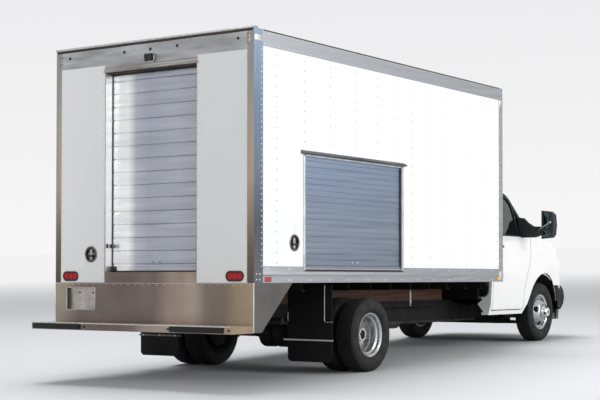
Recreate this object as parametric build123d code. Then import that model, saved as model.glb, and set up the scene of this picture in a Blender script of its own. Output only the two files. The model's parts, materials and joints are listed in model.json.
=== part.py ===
from build123d import *
import os
from math import cos, radians, sin

# Box truck: a cutaway-van cab with dual rear wheels and a dry-freight box body.
# All sizes are millimetres. The truck is drawn level in its body axes: X forward from
# the rear axle, Y to the left, Z up from the ground below the rear axle. At the end the
# whole truck is turned nose-down by RAKE about the rear axle, which is how it stands on
# its unladen rear springs, and moved so that its bounding box is centred on the origin.

# ---- stance and wheels -------------------------------------------------------------
RAKE = 1.77                 # degrees nose-down
WHEELBASE = 4496
TYRE_R = 372
TYRE_W = 223
BEAD_R = 203
RIM_LIP_R = 222
RIM_W = 172
FRONT_TRACK = 1757          # between the tyres' middle planes
REAR_TRACK = 1947           # between the middles of the dual pairs
DUAL_SPACING = 260
DISC_OFFSET = 130           # mounting face from the tyre's middle plane
DISC_T = 9
REAR_HUB_R = 74
REAR_HUB_OUT = 120          # hub beyond the dual mounting face
FRONT_HUB_R = 62
FRONT_HUB_OUT = 66
KINGPIN_Y = 800
AXLE_Z = TYRE_R
FRONT_X = WHEELBASE * cos(radians(RAKE))
FRONT_Z = AXLE_Z + WHEELBASE * sin(radians(RAKE))
FRONT_Y = FRONT_TRACK / 2
REAR_Y = REAR_TRACK / 2
HUB_BORE_R = 60
HAND_HOLES = 4
HAND_HOLE_R = 145
HAND_HOLE_TURN = 15

# ---- box body ----------------------------------------------------------------------
BOX_REAR = -2010
BOX_L = 4930
BOX_W = 2438
RAIL_Z = 900                # underside of the bottom rails
BOX_H = 2285                # bottom rail to roof
RAIL_H = 150
TOP_RAIL_H = 146
HEADER_H = 192              # rear header, above the white panels
RAIL_PROUD = 6              # rails and posts stand this far beyond the skins
WALL_T = 38
ROOF_T = 34
ROOF_CAP = 14               # rear cap above the roof
POST_W = 75                 # rear post, seen from behind
POST_D = 135                # rear post, seen from the side
FRONT_POST = 90
FLOOR_Z = 1000
FLOOR_T = 32
BOX_FRONT = BOX_REAR + BOX_L
BOX_Y = BOX_W / 2
SKIN_Y = BOX_Y - RAIL_PROUD
ROOF_Z = RAIL_Z + BOX_H
FLANGE_W = 74               # shelf of the bottom rail, under wall and floor
FLANGE_T = 8
WALL_IN = SKIN_Y - WALL_T
FLOOR_LOW = FLOOR_Z - FLOOR_T
ROOF_LOW = ROOF_Z - ROOF_T
FRAME_REAR_D = 40           # rear frame, front to back
WALL_REAR = BOX_REAR + FRAME_REAR_D
SKIN_FRONT = BOX_FRONT - RAIL_PROUD
RAIL_REAR = BOX_REAR + POST_D
TOP_RAIL_LOW = ROOF_Z - TOP_RAIL_H
PANEL_TOP = ROOF_Z - HEADER_H
RAIL_TOP = RAIL_Z + RAIL_H
RIDGE_Z = RAIL_Z + 73
RIDGE_H = 10
RIDGE_OUT = 4
CAP_OUT = 10

# ---- rear doorway ------------------------------------------------------------------
DOOR_W = 1138
DOOR_TOP = 2920
REAR_DOOR_SET = 100         # curtain behind the rear face
REAR_CURTAIN_T = 22
LOAD_REAR = BOX_REAR + REAR_DOOR_SET + REAR_CURTAIN_T
SLAT_PITCH = 126.2
SLAT_BASE = 1202            # lowest slat joint
SLAT_GROOVE = 7
PANEL_PROUD = 4
HEADER_LIP = 14
JAMB_T = 8
CURTAIN_GAP = 2
BAR_H = 46
BAR_OUT = 8

# ---- side doorway, right wall ------------------------------------------------------
SIDE_DOOR_X = -1230
SIDE_DOOR_W = 1835
SIDE_DOOR_TOP = 2110
SIDE_DOOR_BASE = 1006
SIDE_FRAME_W = 58
SIDE_DOOR_SET = 24
SIDE_RIB_PITCH = 55
DRIP_RAIL_H = 34
DRIP_RAIL_OUT = 34
SIDE_FRAME_PROUD = 10
SIDE_HEADER = 50
SIDE_CURTAIN_T = 12
SIDE_STEP = 8
DRIP_PAST = 38
SIDE_GROOVE = 4

# ---- lamps and latches -------------------------------------------------------------
HEADER_LAMP_Z = ROOF_Z - 84
HEADER_LAMP_R = 13
HEADER_LAMP_Y = (-1038, -327, 0, 327, 1038)
CAMERA_Z = PANEL_TOP + 27
CAMERA_W = 90
CAMERA_H = 66
CAMERA_OUT = 34
TAIL_LAMP_Y = 1009
TAIL_LAMP_Z = 961
TAIL_LAMP_W = 203
TAIL_LAMP_H = 88
LATCH_R = 76
REAR_LATCH_Y = 742
REAR_LATCH_Z = 1172
SIDE_LATCH_X = -1374
SIDE_LATCH_Z = 1270
LATCH_LAP = 10
LATCH_DEPTH = 26
LATCH_FLANGE = 4
LATCH_WALL = 3
LAMP_OUT = 12
MARKER_OUT = 9
SIDE_MARKER_X = -1797
SIDE_MARKER_L = 96
SIDE_MARKER_H = 46
SIDE_MARKER_Z = 932
AMBER_X = 2800

# ---- apron and step ----------------------------------------------------------------
APRON_BASE = 518
APRON_T = 5
SKIRT_BASE = 455
SKIRT_TOP_X = -1412
SKIRT_LOW_X = -1890
PLATE_Y0 = 694
PLATE_Y1 = 1061
PLATE_Z0 = 640
PLATE_Z1 = 847
PLATE_DEPTH = 32
PLATE_HOLE_R = 6
PLATE_HOLE_SPACING = 178
PLATE_HOLE_SET = 44         # pair towards the middle of the truck
PLATE_HOLE_DROP = 45
STEP_OUT = 320
STEP_H = 66
STEP_TOP = 518
STEP_T = 5
STEP_LIP = 40
STEP_ARM_W = 60
STEP_ARM_L = 320
PAD_T = 16
PAD_H = 52
PAD_L = 614
PAD_RIGHT_Y = -1127
PAD_LEFT_Y = 581

# ---- chassis -----------------------------------------------------------------------
FRAME_Y = 432               # outside of each rail
FRAME_FLANGE = 64
FRAME_T = 7
FRAME_TOP = 680
SILL_W = 50
SILL_H = 140
CROSS_H = FLOOR_Z - FLOOR_T - FRAME_TOP - SILL_H
CROSS_W = 58
CROSS_T = 6
CROSS_PITCH = 406
FLAP_X = -740
FLAP_Y0 = 694
FLAP_Y1 = 1215
FLAP_Z0 = 128
FLAP_TOP = 880
FLAP_T = 10
FLAP_ROUND = 45
HANGER_BAR = 8
HANGER_POST_Y = 1125
HANGER_POST_W = 14
HANGER_ARM_Z = 512
HANGER_INNER_Z = 612
DIFF_Y = 40
DIFF_R = 152
AXLE_TUBE_R = 48
SPRING_Y = 560
SPRING_W = 64
SPRING_HALF = 700
FRAME_TAIL_LOW = 575
RAIL_POINTS_TOP = ((-1960, FRAME_TOP), (3050, FRAME_TOP), (3350, 610), (5190, 610))
RAIL_POINTS_LOW = ((5190, 480), (3450, 440), (1100, 450), (600, 545), (-650, 545),
                   (-1000, FRAME_TAIL_LOW), (-1960, FRAME_TAIL_LOW))
CROSS_TUBES = ((-1880, 628), (-820, 620), (720, 600), (1900, 600), (2900, 632), (5120, 545))
CROSS_TUBE_R = 38
CAB_MOUNTS = ((3020, FRAME_TOP), (3880, 610))
CAB_MOUNT_R = 30
SILL_FRONT = 2860
FLAP_BAR_Z = 342
SILL_REAR = -1953
TANK = (1250, 2450, 420, 690)  # X and Z of the tank
TANK_W = 414
TANK_GAP = 6
TANK_ROUND = 60
STRAP_XS = (1450, 2200)
STRAP_W = 40
STRAP_T = 4
DRUM_R = 160
AXLE_END = 762              # half length of the axle tube, out to the backing plates
PINION_X = 330
SHAFT_R = 42
SHAFT_SHORT = 4             # its rim stops just short of the gearbox
ENGINE_X0 = 4180
ENGINE_X1 = 4930
ENGINE_Y = 300
ENGINE_Z0 = 470
ENGINE_Z1 = 1120
GEARBOX_X = 3250
GEARBOX_Z = 560
GEARBOX_R = 118
EXHAUST_R = 32
MUFFLER_R = 80
MUFFLER_ENDS = (1300, 2050)
EXHAUST_ENDS = (880, 4000)
TAILPIPE_Y = 640
EXHAUST_Y = -250
EXHAUST_Z = 435
EXHAUST_HANGERS = (1150, 2200, 3300)
HANGER_W = 30
HANGER_T = 16

# ---- front axle --------------------------------------------------------------------
BALL_LOW = -135             # ball joints, from the wheel's centre
BALL_HIGH = 150
KNUCKLE_R = 40
SPINDLE_R = 34
ARM_CLEAR = 0.5
TOWER_T = 50
BEAM_HALF = 110
SPINDLE_SHORT = 40
SPINDLE_GAP = 0.05

# ---- cab ---------------------------------------------------------------------------
CAB_GAP = 45                # between the box and the cab
CAB_BACK = BOX_FRONT + CAB_GAP
CAB_Y = 1003
CAB_BASE = 500
BELT_Z = 1458
CAB_ROOF_Z = 2110
CAB_WALL = 34
COWL_X = 4270
COWL_Z = 1452
COWL_HALF = 30              # the cowl's flat strip, each way from COWL_X
NOSE_X = 5290
ARCH_R = 486
DOOR_X0 = 3110
DOOR_X1 = 3950
DOOR_Z0 = 560
DOOR_HEAD = 1985
CAB_FLOOR_Z = 712
CAB_FLOOR_T = 24
DOOR_GAP = 11               # lets the leaning rear edge swing past the pillar
HINGE_X = 4155.5            # door hinge line, in the gap ahead of the door at the belt
HINGE_R = 5.2
HINGE_FIT = 0.3
HINGE_H = 36
HINGE_ZS = (1222, 1268)
HINGE_LEAF_L = 60
HINGE_LEAF_T = 9
HINGE_ROOM = 3              # pocket round a hinge leaf
GLASS_T = 6
GLASS_SET = 12              # door glass behind the door's face
SCREEN_SET = 8
BUMPER_TOP = 852
BUMPER_BASE = 534
DAM_BASE = 404
SEAT_Y = 430
CAB_SPAN = CAB_Y + 97       # reach of the cutters beyond the cab's sides
CUT_IN = 600                # where a side cutter starts, inside the cab
HOOD_X = 4340
HOOD_HALF = 820
HOOD_LOW = 1165
HOOD_HINGE_Y = 520
SHUT_GAP = 6
HOUSE_IN = 580              # inner wall of the wheelhouse
WINDOW_SILL = BELT_Z + 14
WINDOW_HEAD = DOOR_HEAD - 35
WINDOW_REAR = DOOR_X0 + 62
SCREEN_BACK = 3600          # the windscreen cutter starts here
ROCKER_IN = 860
CLIP_X = DOOR_X1 + DOOR_GAP  # cab ends and front end starts, below the cowl
COWL_IN_X = 4160            # cowl panel between the fenders, under the hood's rear edge
COWL_DROP = 60
COWL_LIP = 2
BULK_X = 4056               # firewall
BULK_T = 34
BULK_Z = 1240
BULK_SHEET = 30
BULK_SET = 20
HOUSE_T = 12
DAM_Z = 640                 # fenders end here behind the bumper
GRILLE_X = 4950
GRILLE_Y = 600
GRILLE_Z0 = 870
GRILLE_Z1 = 1140
GRILLE_BARS = 4
GRILLE_SLOT = 36
GRILLE_SET = 48
LAMP_Y1 = 960
WALL_TOP = BULK_Z - BULK_SHEET - 5
SIDE_REAR_X = 3060          # the cab's side starts here, below the box
SIDE_REAR_Z = 1000
GUSSET_T = 30
GUSSET = ((999, 790), (809, 630), (918, 502), (952, 502), (985, 620))

# ---- outlines of the cab -----------------------------------------------------------
# Side view, from the roof round the brow to the nose: X, Z.
ROOF_BACK = ((CAB_BACK, 2030), (CAB_BACK + 24, 2086), (CAB_BACK + 90, CAB_ROOF_Z))
ROOF_BROW = ((3400, CAB_ROOF_Z), (3668, 2046), (3860, 1912))
HOOD_LINE = ((4700, 1424), (5100, 1318))
NOSE_LINE = ((5215, 1240), (5262, 1120), (5286, 960), (NOSE_X, 800))
CHIN = ((NOSE_X, CAB_BASE + 60), (5100, CAB_BASE))
# Half of the cross-section, from the rocker up to the roof: Y, Z.
CAB_SECTION = ((950, CAB_BASE), (988, 620), (CAB_Y, 900), (CAB_Y, 1290), (990, BELT_Z),
               (856, 2000), (805, 2070), (715, CAB_ROOF_Z))
# Half of the nose from above: X, Y.
NOSE_PLAN = ((4750, CAB_Y), (5090, 957), (5215, 800), (NOSE_X, 0))
# How far each front corner reaches along its diagonal, at each height.
CORNER_TURN = 45
CORNER_LINE = ((4280, 880), (4252, 1098), (4196, 1250), (4165, 1310), (4110, 1352),
               (3933, 1418), (3740, COWL_Z))
CORNER_SPAN = 6000
# Door and window edges, front and top: X, Z.
DOOR_FRONT = ((DOOR_X1, 800), (4025, 960), (4118, 1150), (4150, BELT_Z), (4017, 1640),
              (3812, 1880))
DOOR_CROWN = ((3735, 1952), (3640, DOOR_HEAD))
DOOR_TAIL = ((DOOR_X0 + 60, DOOR_HEAD), (DOOR_X0 + 18, DOOR_HEAD - 18), (DOOR_X0, DOOR_HEAD - 60))
WINDOW_FRONT = ((4100, WINDOW_SILL), (3782, 1862))
WINDOW_CROWN = ((3722, 1922), (3636, WINDOW_HEAD))
WINDOW_TAIL = ((WINDOW_REAR + 30, WINDOW_HEAD), (WINDOW_REAR + 8, WINDOW_HEAD - 8),
               (WINDOW_REAR, WINDOW_HEAD - 36))
# Front wheel opening, from the rocker over the wheel to the bumper: X, Z.
ARCH_EDGE = ((3972, 487), (4058, 615), (4153, 751), (4281, 904), (4542, 1008), (4700, 968),
             (4802, 879), (4875, 760), (4925, 600), (4940, 487))
# Half of the windscreen opening from ahead: Y, Z.
WINDSCREEN = ((760, COWL_Z + 62), (800, COWL_Z + 110), (735, 1925), (670, 1985))
# Half of the bumper from above, and how far it draws in at each height.
BUMPER_PLAN = ((4900, 1008), (5060, 1004), (5245, 952), (5325, 790), (5390, 0))
BUMPER_BANDS = ((BUMPER_TOP, -62), (836, -38), (788, -12), (690, 0), (610, -13),
                (BUMPER_BASE, -48))
BUMPER_END_IN = 950         # inside this the bumper clears the turning wheel more
BUMPER_END_R = 414
BUMPER_ROOM_R = 470
DAM_PLANS = (-58, -80)      # draw-in at its top and foot
DAM_WALL = 30
DAM_TOP = 590
DAM_HALF = 900
DAM_X = 5000

# ---- cab fittings ------------------------------------------------------------------
SEAT_H = 340
WHEEL_X = 3790
WHEEL_Z = 1330
WHEEL_TILT = 28             # steering wheel's axis above the level, degrees
WHEEL_R = 190
COLUMN_L = 240
DASH_Y = 940
# Mirror head: its outline at its open rear face, its widest place and its front, each as
# X, then Y, Z corners from the inner foot round.
MIRROR_RINGS = (
    (3850, ((1283, 1426), (1283, 1776), (1395, 1764), (1432, 1727), (1440, 1600), (1428, 1478), (1404, 1444))),
    (3925, ((1287, 1430), (1287, 1774), (1405, 1762), (1448, 1722), (1459, 1590), (1446, 1474), (1416, 1440))),
    (3985, ((1305, 1470), (1305, 1740), (1380, 1730), (1408, 1700), (1414, 1590), (1404, 1505), (1384, 1480))))
MIRROR_ARM = ((980, 1447), (1175, 1447), (1300, 1489), (1300, 1579), (1155, 1584), (1078, 1632),
              (1022, 1690), (930, 1700))
MIRROR_ARM_X = (3885, 3935)
MIRROR_SAIL = ((3872, 1466), (4092, 1466), (4062, 1530), (3952, 1668), (3886, 1700))
MIRROR_SAIL_T = 12

# ---- drawing planes ----------------------------------------------------------------
XZ = Plane(origin=(0, 0, 0), x_dir=(1, 0, 0), z_dir=(0, -1, 0))
YZ = Plane(origin=(0, 0, 0), x_dir=(0, 1, 0), z_dir=(1, 0, 0))

def block(x0, x1, y0, y1, z0, z1):
    """A box between two corners."""
    middle = ((x0 + x1) / 2, (y0 + y1) / 2, (z0 + z1) / 2)
    return Pos(*middle) * Box(abs(x1 - x0), abs(y1 - y0), abs(z1 - z0))


def side_prism(points, y0, y1, rounds=()):
    """An XZ outline drawn from y0 to y1. rounds lists (corner index, radius)."""
    outline = Polygon(*points)
    for index, radius in rounds:
        x, z = points[index]
        corner = outline.vertices().sort_by_distance((x, z, 0))[0]
        outline = fillet(corner, radius)
    plane = Plane(origin=(0, y0, 0), x_dir=(1, 0, 0), z_dir=(0, -1, 0))
    return extrude(plane * outline, amount=y1 - y0, dir=(0, 1, 0))


def front_prism(points, x0, x1, rounds=()):
    """A YZ outline drawn from x0 to x1."""
    outline = Polygon(*points)
    for index, radius in rounds:
        y, z = points[index]
        corner = outline.vertices().sort_by_distance((y, z, 0))[0]
        outline = fillet(corner, radius)
    plane = Plane(origin=(x0, 0, 0), x_dir=(0, 1, 0), z_dir=(1, 0, 0))
    return extrude(plane * outline, amount=x1 - x0, dir=(1, 0, 0))


def plan_prism(points, z0, z1, rounds=()):
    """An XY outline drawn from z0 to z1."""
    outline = Polygon(*points)
    for index, radius in rounds:
        x, y = points[index]
        corner = outline.vertices().sort_by_distance((x, y, 0))[0]
        outline = fillet(corner, radius)
    return extrude(Pos(0, 0, z0) * outline, amount=z1 - z0, dir=(0, 0, 1))


def group(pieces):
    """Solids that don't touch, as one piece."""
    return Compound([piece.solid() for piece in pieces])


def both_sides(shape):
    """The shape and its mirror image across the middle of the truck."""
    return shape + mirror(shape, about=Plane.XZ)


def y_cylinder(radius, x, z, y0, y1):
    """A cylinder across the truck."""
    return Pos(x, (y0 + y1) / 2, z) * Rot(90, 0, 0) * Cylinder(radius, abs(y1 - y0))


def x_cylinder(radius, y, z, x0, x1):
    """A cylinder along the truck."""
    return Pos((x0 + x1) / 2, y, z) * Rot(0, 90, 0) * Cylinder(radius, abs(x1 - x0))


def ring(profile, x, z, outward):
    """A turned part about a wheel's axis. profile lists (distance out along Y, radius);
    outward is -1 on the right side and 1 on the left."""
    outline = Polygon(*[(r, outward * y) for y, r in profile])
    turned = revolve(outline, axis=Axis.Y)
    return Pos(x, 0, z) * turned


# ---- box body ----------------------------------------------------------------------


def box_rails():
    """Bottom and top rails, front corner posts and front rails, as one welded frame."""
    ridge = [(BOX_Y, RIDGE_Z - RIDGE_H), (BOX_Y + RIDGE_OUT, RIDGE_Z - RIDGE_H / 2),
             (BOX_Y + RIDGE_OUT, RIDGE_Z + RIDGE_H / 2), (BOX_Y, RIDGE_Z + RIDGE_H)]
    shelf_z = FLOOR_LOW - FLANGE_T
    bottom = front_prism(
        [(SKIN_Y, RAIL_Z), (BOX_Y, RAIL_Z)] + ridge + [(BOX_Y, RAIL_TOP), (SKIN_Y, RAIL_TOP),
         (SKIN_Y, FLOOR_LOW), (SKIN_Y - FLANGE_W, FLOOR_LOW), (SKIN_Y - FLANGE_W, shelf_z),
         (SKIN_Y, shelf_z)], RAIL_REAR, BOX_FRONT)
    top = block(RAIL_REAR, BOX_FRONT, SKIN_Y, BOX_Y, TOP_RAIL_LOW, ROOF_Z)
    post = block(BOX_FRONT - FRONT_POST, BOX_FRONT, SKIN_Y, BOX_Y, RAIL_Z, ROOF_Z)
    nose = block(SKIN_FRONT, BOX_FRONT, SKIN_Y - FRONT_POST, BOX_Y, RAIL_Z, ROOF_Z)
    frame = both_sides(bottom + top + post + nose)
    frame += block(SKIN_FRONT, BOX_FRONT, -BOX_Y, BOX_Y, TOP_RAIL_LOW, ROOF_Z)
    frame += block(SKIN_FRONT, BOX_FRONT, -BOX_Y, BOX_Y, RAIL_Z, RAIL_TOP)
    sill_notch = block(SIDE_DOOR_X, SIDE_DOOR_X + SIDE_DOOR_W, -BOX_Y - RIDGE_OUT,
                       -SKIN_Y, SIDE_DOOR_BASE, RAIL_TOP)
    return frame - sill_notch


def box_floor():
    """The floor on its cross members."""
    floor = block(WALL_REAR, SKIN_FRONT - WALL_T, -WALL_IN, WALL_IN, FLOOR_LOW, FLOOR_Z)
    floor -= block(WALL_REAR, LOAD_REAR, -DOOR_W / 2, DOOR_W / 2, FLOOR_LOW, FLOOR_Z)
    end = SKIN_Y - FLANGE_W
    x = FLAP_X + FLAP_T / 2 - 3 * CROSS_PITCH
    while x < SKIN_FRONT - CROSS_W:
        channel = block(x, x + CROSS_W, -end, end, FLOOR_LOW - CROSS_H, FLOOR_LOW)
        channel -= block(x + CROSS_T, x + CROSS_W, -end, end,
                         FLOOR_LOW - CROSS_H + CROSS_T, FLOOR_LOW - CROSS_T)
        floor += channel
        x += CROSS_PITCH
    return floor


def side_wall(side):
    """One side wall, side -1 for the right. The right wall has the side doorway."""
    wall = block(WALL_REAR, SKIN_FRONT, side * WALL_IN, side * SKIN_Y, FLOOR_LOW, ROOF_LOW)
    if side < 0:
        wall -= block(SIDE_DOOR_X, SIDE_DOOR_X + SIDE_DOOR_W, -SKIN_Y, -WALL_IN,
                      SIDE_DOOR_BASE, SIDE_DOOR_TOP)
        wall -= y_cylinder(LATCH_R - LATCH_LAP, SIDE_LATCH_X, SIDE_LATCH_Z,
                           -SKIN_Y, -SKIN_Y + LATCH_DEPTH)
    return wall


def front_wall():
    """The flat front bulkhead."""
    return block(SKIN_FRONT - WALL_T, SKIN_FRONT, -WALL_IN, WALL_IN, FLOOR_LOW, ROOF_LOW)


def roof():
    """The roof sheet and its bows."""
    return block(WALL_REAR, SKIN_FRONT, -SKIN_Y, SKIN_Y, ROOF_LOW, ROOF_Z)


def rear_frame():
    """Rear posts, header with its cap, door sill and jambs, in aluminium."""
    face = WALL_REAR
    deep = LOAD_REAR
    half = DOOR_W / 2
    post = block(BOX_REAR, face, BOX_Y - POST_W, BOX_Y, RAIL_Z, ROOF_Z)
    post += block(BOX_REAR, RAIL_REAR, SKIN_Y, BOX_Y, RAIL_Z, ROOF_Z)
    jamb = block(BOX_REAR, deep, half - JAMB_T, half, FLOOR_Z, DOOR_TOP)
    frame = both_sides(post + jamb)
    frame += block(BOX_REAR, face, -BOX_Y, BOX_Y, PANEL_TOP, ROOF_Z)
    frame += block(BOX_REAR, face, -half, half, DOOR_TOP, PANEL_TOP)
    frame += block(BOX_REAR, deep, -half, half, DOOR_TOP, DOOR_TOP + HEADER_LIP)
    frame += block(BOX_REAR - CAP_OUT, face + CAP_OUT, -BOX_Y - CAP_OUT / 2,
                   BOX_Y + CAP_OUT / 2, ROOF_Z, ROOF_Z + ROOF_CAP)
    frame += block(BOX_REAR, face, -half, half, RAIL_Z, FLOOR_Z)
    frame += block(face, deep, -half, half, FLOOR_LOW, FLOOR_Z)
    camera = block(BOX_REAR - CAMERA_OUT, BOX_REAR, -CAMERA_W / 2, CAMERA_W / 2,
                   CAMERA_Z - CAMERA_H / 2, CAMERA_Z + CAMERA_H / 2)
    return frame + camera


def rear_panels():
    """The white fixed panels each side of the rear doorway."""
    panel = block(BOX_REAR - PANEL_PROUD, BOX_REAR + FRAME_REAR_D, DOOR_W / 2,
                  BOX_Y - POST_W, RAIL_Z, PANEL_TOP)
    left = panel - x_cylinder(LATCH_R - LATCH_LAP, REAR_LATCH_Y, REAR_LATCH_Z,
                              BOX_REAR - PANEL_PROUD, BOX_REAR - PANEL_PROUD + LATCH_DEPTH)
    return group([left, mirror(panel, about=Plane.XZ)])


def rear_roller_door():
    """The slatted curtain: flat slats with a groove at each joint and a bottom bar."""
    out = BOX_REAR + REAR_DOOR_SET
    back = out + REAR_CURTAIN_T
    top = DOOR_TOP
    points = [(back, top), (back, FLOOR_Z), (out - BAR_OUT, FLOOR_Z),
              (out - BAR_OUT, FLOOR_Z + BAR_H), (out, FLOOR_Z + BAR_H + BAR_OUT)]
    z = SLAT_BASE
    while z < top - SLAT_GROOVE:
        points += [(out, z - SLAT_GROOVE), (out + SLAT_GROOVE, z),
                   (out, z + SLAT_GROOVE / 2)]
        z += SLAT_PITCH
    points.append((out, top))
    half = DOOR_W / 2 - JAMB_T - CURTAIN_GAP
    return side_prism(points, -half, half)


def side_door_frame():
    """The frame of the side doorway with its drip rail."""
    x0 = SIDE_DOOR_X
    x1 = SIDE_DOOR_X + SIDE_DOOR_W
    out = SKIN_Y + SIDE_FRAME_PROUD
    frame = block(x0, x1, -out, -WALL_IN, SIDE_DOOR_BASE, SIDE_DOOR_TOP)
    frame -= block(x0 + SIDE_FRAME_W, x1 - SIDE_FRAME_W, -out, -WALL_IN,
                   SIDE_DOOR_BASE + SIDE_STEP, SIDE_DOOR_TOP - SIDE_HEADER)
    drip = front_prism([(-SKIN_Y, SIDE_DOOR_TOP), (-SKIN_Y, SIDE_DOOR_TOP + DRIP_RAIL_H),
                        (-SKIN_Y - DRIP_RAIL_OUT, SIDE_DOOR_TOP + DRIP_RAIL_H / 3),
                        (-SKIN_Y - DRIP_RAIL_OUT, SIDE_DOOR_TOP)],
                       x0 - DRIP_PAST, x1 + DRIP_PAST)
    return frame + drip


def side_roller_door():
    """The ribbed curtain of the side doorway and its bottom bar."""
    out = -(SKIN_Y + SIDE_FRAME_PROUD - SIDE_DOOR_SET)
    back = out + SIDE_CURTAIN_T
    low = SIDE_DOOR_BASE + SIDE_STEP
    top = SIDE_DOOR_TOP - SIDE_HEADER
    points = [(back, top), (back, low), (out - BAR_OUT, low), (out - BAR_OUT, low + BAR_H),
              (out, low + BAR_H + BAR_OUT)]
    z = low + BAR_H + SIDE_RIB_PITCH
    while z < top - SIDE_GROOVE:
        points += [(out, z - SIDE_GROOVE), (out + SIDE_GROOVE, z), (out, z + SIDE_GROOVE)]
        z += SIDE_RIB_PITCH
    points.append((out, top))
    return front_prism(points, SIDE_DOOR_X + SIDE_FRAME_W + CURTAIN_GAP,
                       SIDE_DOOR_X + SIDE_DOOR_W - SIDE_FRAME_W - CURTAIN_GAP)


def latch_dish():
    """A round recessed paddle latch about the Z axis, its flange's back at z = 0."""
    bowl = LATCH_R - LATCH_LAP
    dish = Cylinder(LATCH_R, LATCH_FLANGE, align=(Align.CENTER, Align.CENTER, Align.MIN))
    dish += Pos(0, 0, -LATCH_DEPTH) * Cylinder(
        bowl, LATCH_DEPTH, align=(Align.CENTER, Align.CENTER, Align.MIN))
    dish -= Pos(0, 0, -LATCH_DEPTH + LATCH_WALL) * Cylinder(
        bowl - LATCH_WALL, LATCH_DEPTH + LATCH_FLANGE,
        align=(Align.CENTER, Align.CENTER, Align.MIN))
    handle = Pos(0, 0, -LATCH_DEPTH + LATCH_WALL) * Box(
        bowl * 0.55, bowl * 1.3, LATCH_DEPTH * 0.7, align=(Align.CENTER, Align.CENTER, Align.MIN))
    return dish + handle


def latch_dishes():
    """The latch of the rear doorway and the latch of the side doorway."""
    rear = Pos(BOX_REAR - PANEL_PROUD, REAR_LATCH_Y, REAR_LATCH_Z) * Rot(0, -90, 0) * latch_dish()
    side = Pos(SIDE_LATCH_X, -SKIN_Y, SIDE_LATCH_Z) * Rot(90, 0, 0) * latch_dish()
    return group([rear, side])


def marker_lamps():
    """Five header lamps, the red side markers and the amber front markers."""
    lamps = [x_cylinder(HEADER_LAMP_R, y, HEADER_LAMP_Z, BOX_REAR - MARKER_OUT, BOX_REAR)
             for y in HEADER_LAMP_Y]
    for side in (-1, 1):
        lamps.append(block(SIDE_MARKER_X - SIDE_MARKER_L / 2, SIDE_MARKER_X + SIDE_MARKER_L / 2,
                           side * BOX_Y, side * (BOX_Y + MARKER_OUT),
                           SIDE_MARKER_Z - SIDE_MARKER_H / 2, SIDE_MARKER_Z + SIDE_MARKER_H / 2))
        lamps.append(y_cylinder(SIDE_MARKER_H / 2, AMBER_X, SIDE_MARKER_Z,
                                side * BOX_Y, side * (BOX_Y + MARKER_OUT)))
    return group(lamps)


def tail_lamps():
    """An oval lamp low on each white panel."""
    lamps = []
    for side in (-1, 1):
        plane = Plane(origin=(BOX_REAR - PANEL_PROUD, side * TAIL_LAMP_Y, TAIL_LAMP_Z),
                      x_dir=(0, 1, 0), z_dir=(-1, 0, 0))
        lamps.append(extrude(plane * Ellipse(TAIL_LAMP_W / 2, TAIL_LAMP_H / 2), amount=LAMP_OUT))
    return group(lamps)


def rear_apron():
    """The polished panel under the rear sill, its side skirts and the plate recess."""
    face = block(BOX_REAR, BOX_REAR + APRON_T, -BOX_Y, BOX_Y, APRON_BASE, RAIL_Z)
    pocket = block(BOX_REAR, BOX_REAR + PLATE_DEPTH, PLATE_Y0, PLATE_Y1, PLATE_Z0, PLATE_Z1)
    shell = block(BOX_REAR, BOX_REAR + PLATE_DEPTH + APRON_T, PLATE_Y0 - APRON_T,
                  PLATE_Y1 + APRON_T, PLATE_Z0 - APRON_T, PLATE_Z1 + APRON_T)
    skirt = side_prism([(BOX_REAR, SKIRT_BASE), (SKIRT_LOW_X, SKIRT_BASE),
                        (SKIRT_TOP_X, RAIL_Z), (BOX_REAR, RAIL_Z)], BOX_Y - APRON_T, BOX_Y)
    apron = face + shell + both_sides(skirt) - pocket
    hole_y = (PLATE_Y0 + PLATE_Y1) / 2 - PLATE_HOLE_SET
    for k in (-0.5, 0.5):
        apron -= x_cylinder(PLATE_HOLE_R, hole_y + k * PLATE_HOLE_SPACING, PLATE_Z1 - PLATE_HOLE_DROP,
                            BOX_REAR, BOX_REAR + PLATE_DEPTH + 2 * APRON_T)
    return apron


def step_bumper():
    """The full-width step: tread, rear face, end plates and the arms to the frame."""
    rear = BOX_REAR - STEP_OUT
    low = STEP_TOP - STEP_H
    step = block(rear, BOX_REAR, -BOX_Y, BOX_Y, STEP_TOP - STEP_T, STEP_TOP)
    step += block(rear, rear + STEP_T, -BOX_Y, BOX_Y, low, STEP_TOP)
    step += block(rear, rear + STEP_LIP, -BOX_Y, BOX_Y, low, low + STEP_T)
    ends = block(rear, BOX_REAR, BOX_Y - STEP_T, BOX_Y, low, STEP_TOP)
    inner = FRAME_Y - STEP_ARM_W
    arm = block(rear + STEP_T, BOX_REAR + STEP_ARM_W, inner, FRAME_Y, low + STEP_T,
                STEP_TOP - STEP_T)
    arm += side_prism([(BOX_REAR + STEP_ARM_W / 4, low + STEP_T),
                       (BOX_REAR + STEP_ARM_W, low + STEP_T),
                       (BOX_REAR + STEP_ARM_L, FRAME_TAIL_LOW),
                       (BOX_REAR + STEP_ARM_L - 220, FRAME_TAIL_LOW)], inner, FRAME_Y)
    return step + both_sides(ends + arm)


def bumper_pads():
    """The two rubber pads on the step's rear face."""
    pads = []
    for y in (PAD_RIGHT_Y, PAD_LEFT_Y):
        middle = STEP_TOP - STEP_H / 2
        pad = block(BOX_REAR - STEP_OUT - PAD_T, BOX_REAR - STEP_OUT, y, y + PAD_L,
                    middle - PAD_H / 2, middle + PAD_H / 2)
        rear_edges = pad.edges().filter_by(Axis.Z).group_by(Axis.X)[0]
        pads.append(fillet(rear_edges, PAD_T * 0.8))
    return group(pads)


# ---- chassis -----------------------------------------------------------------------


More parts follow.
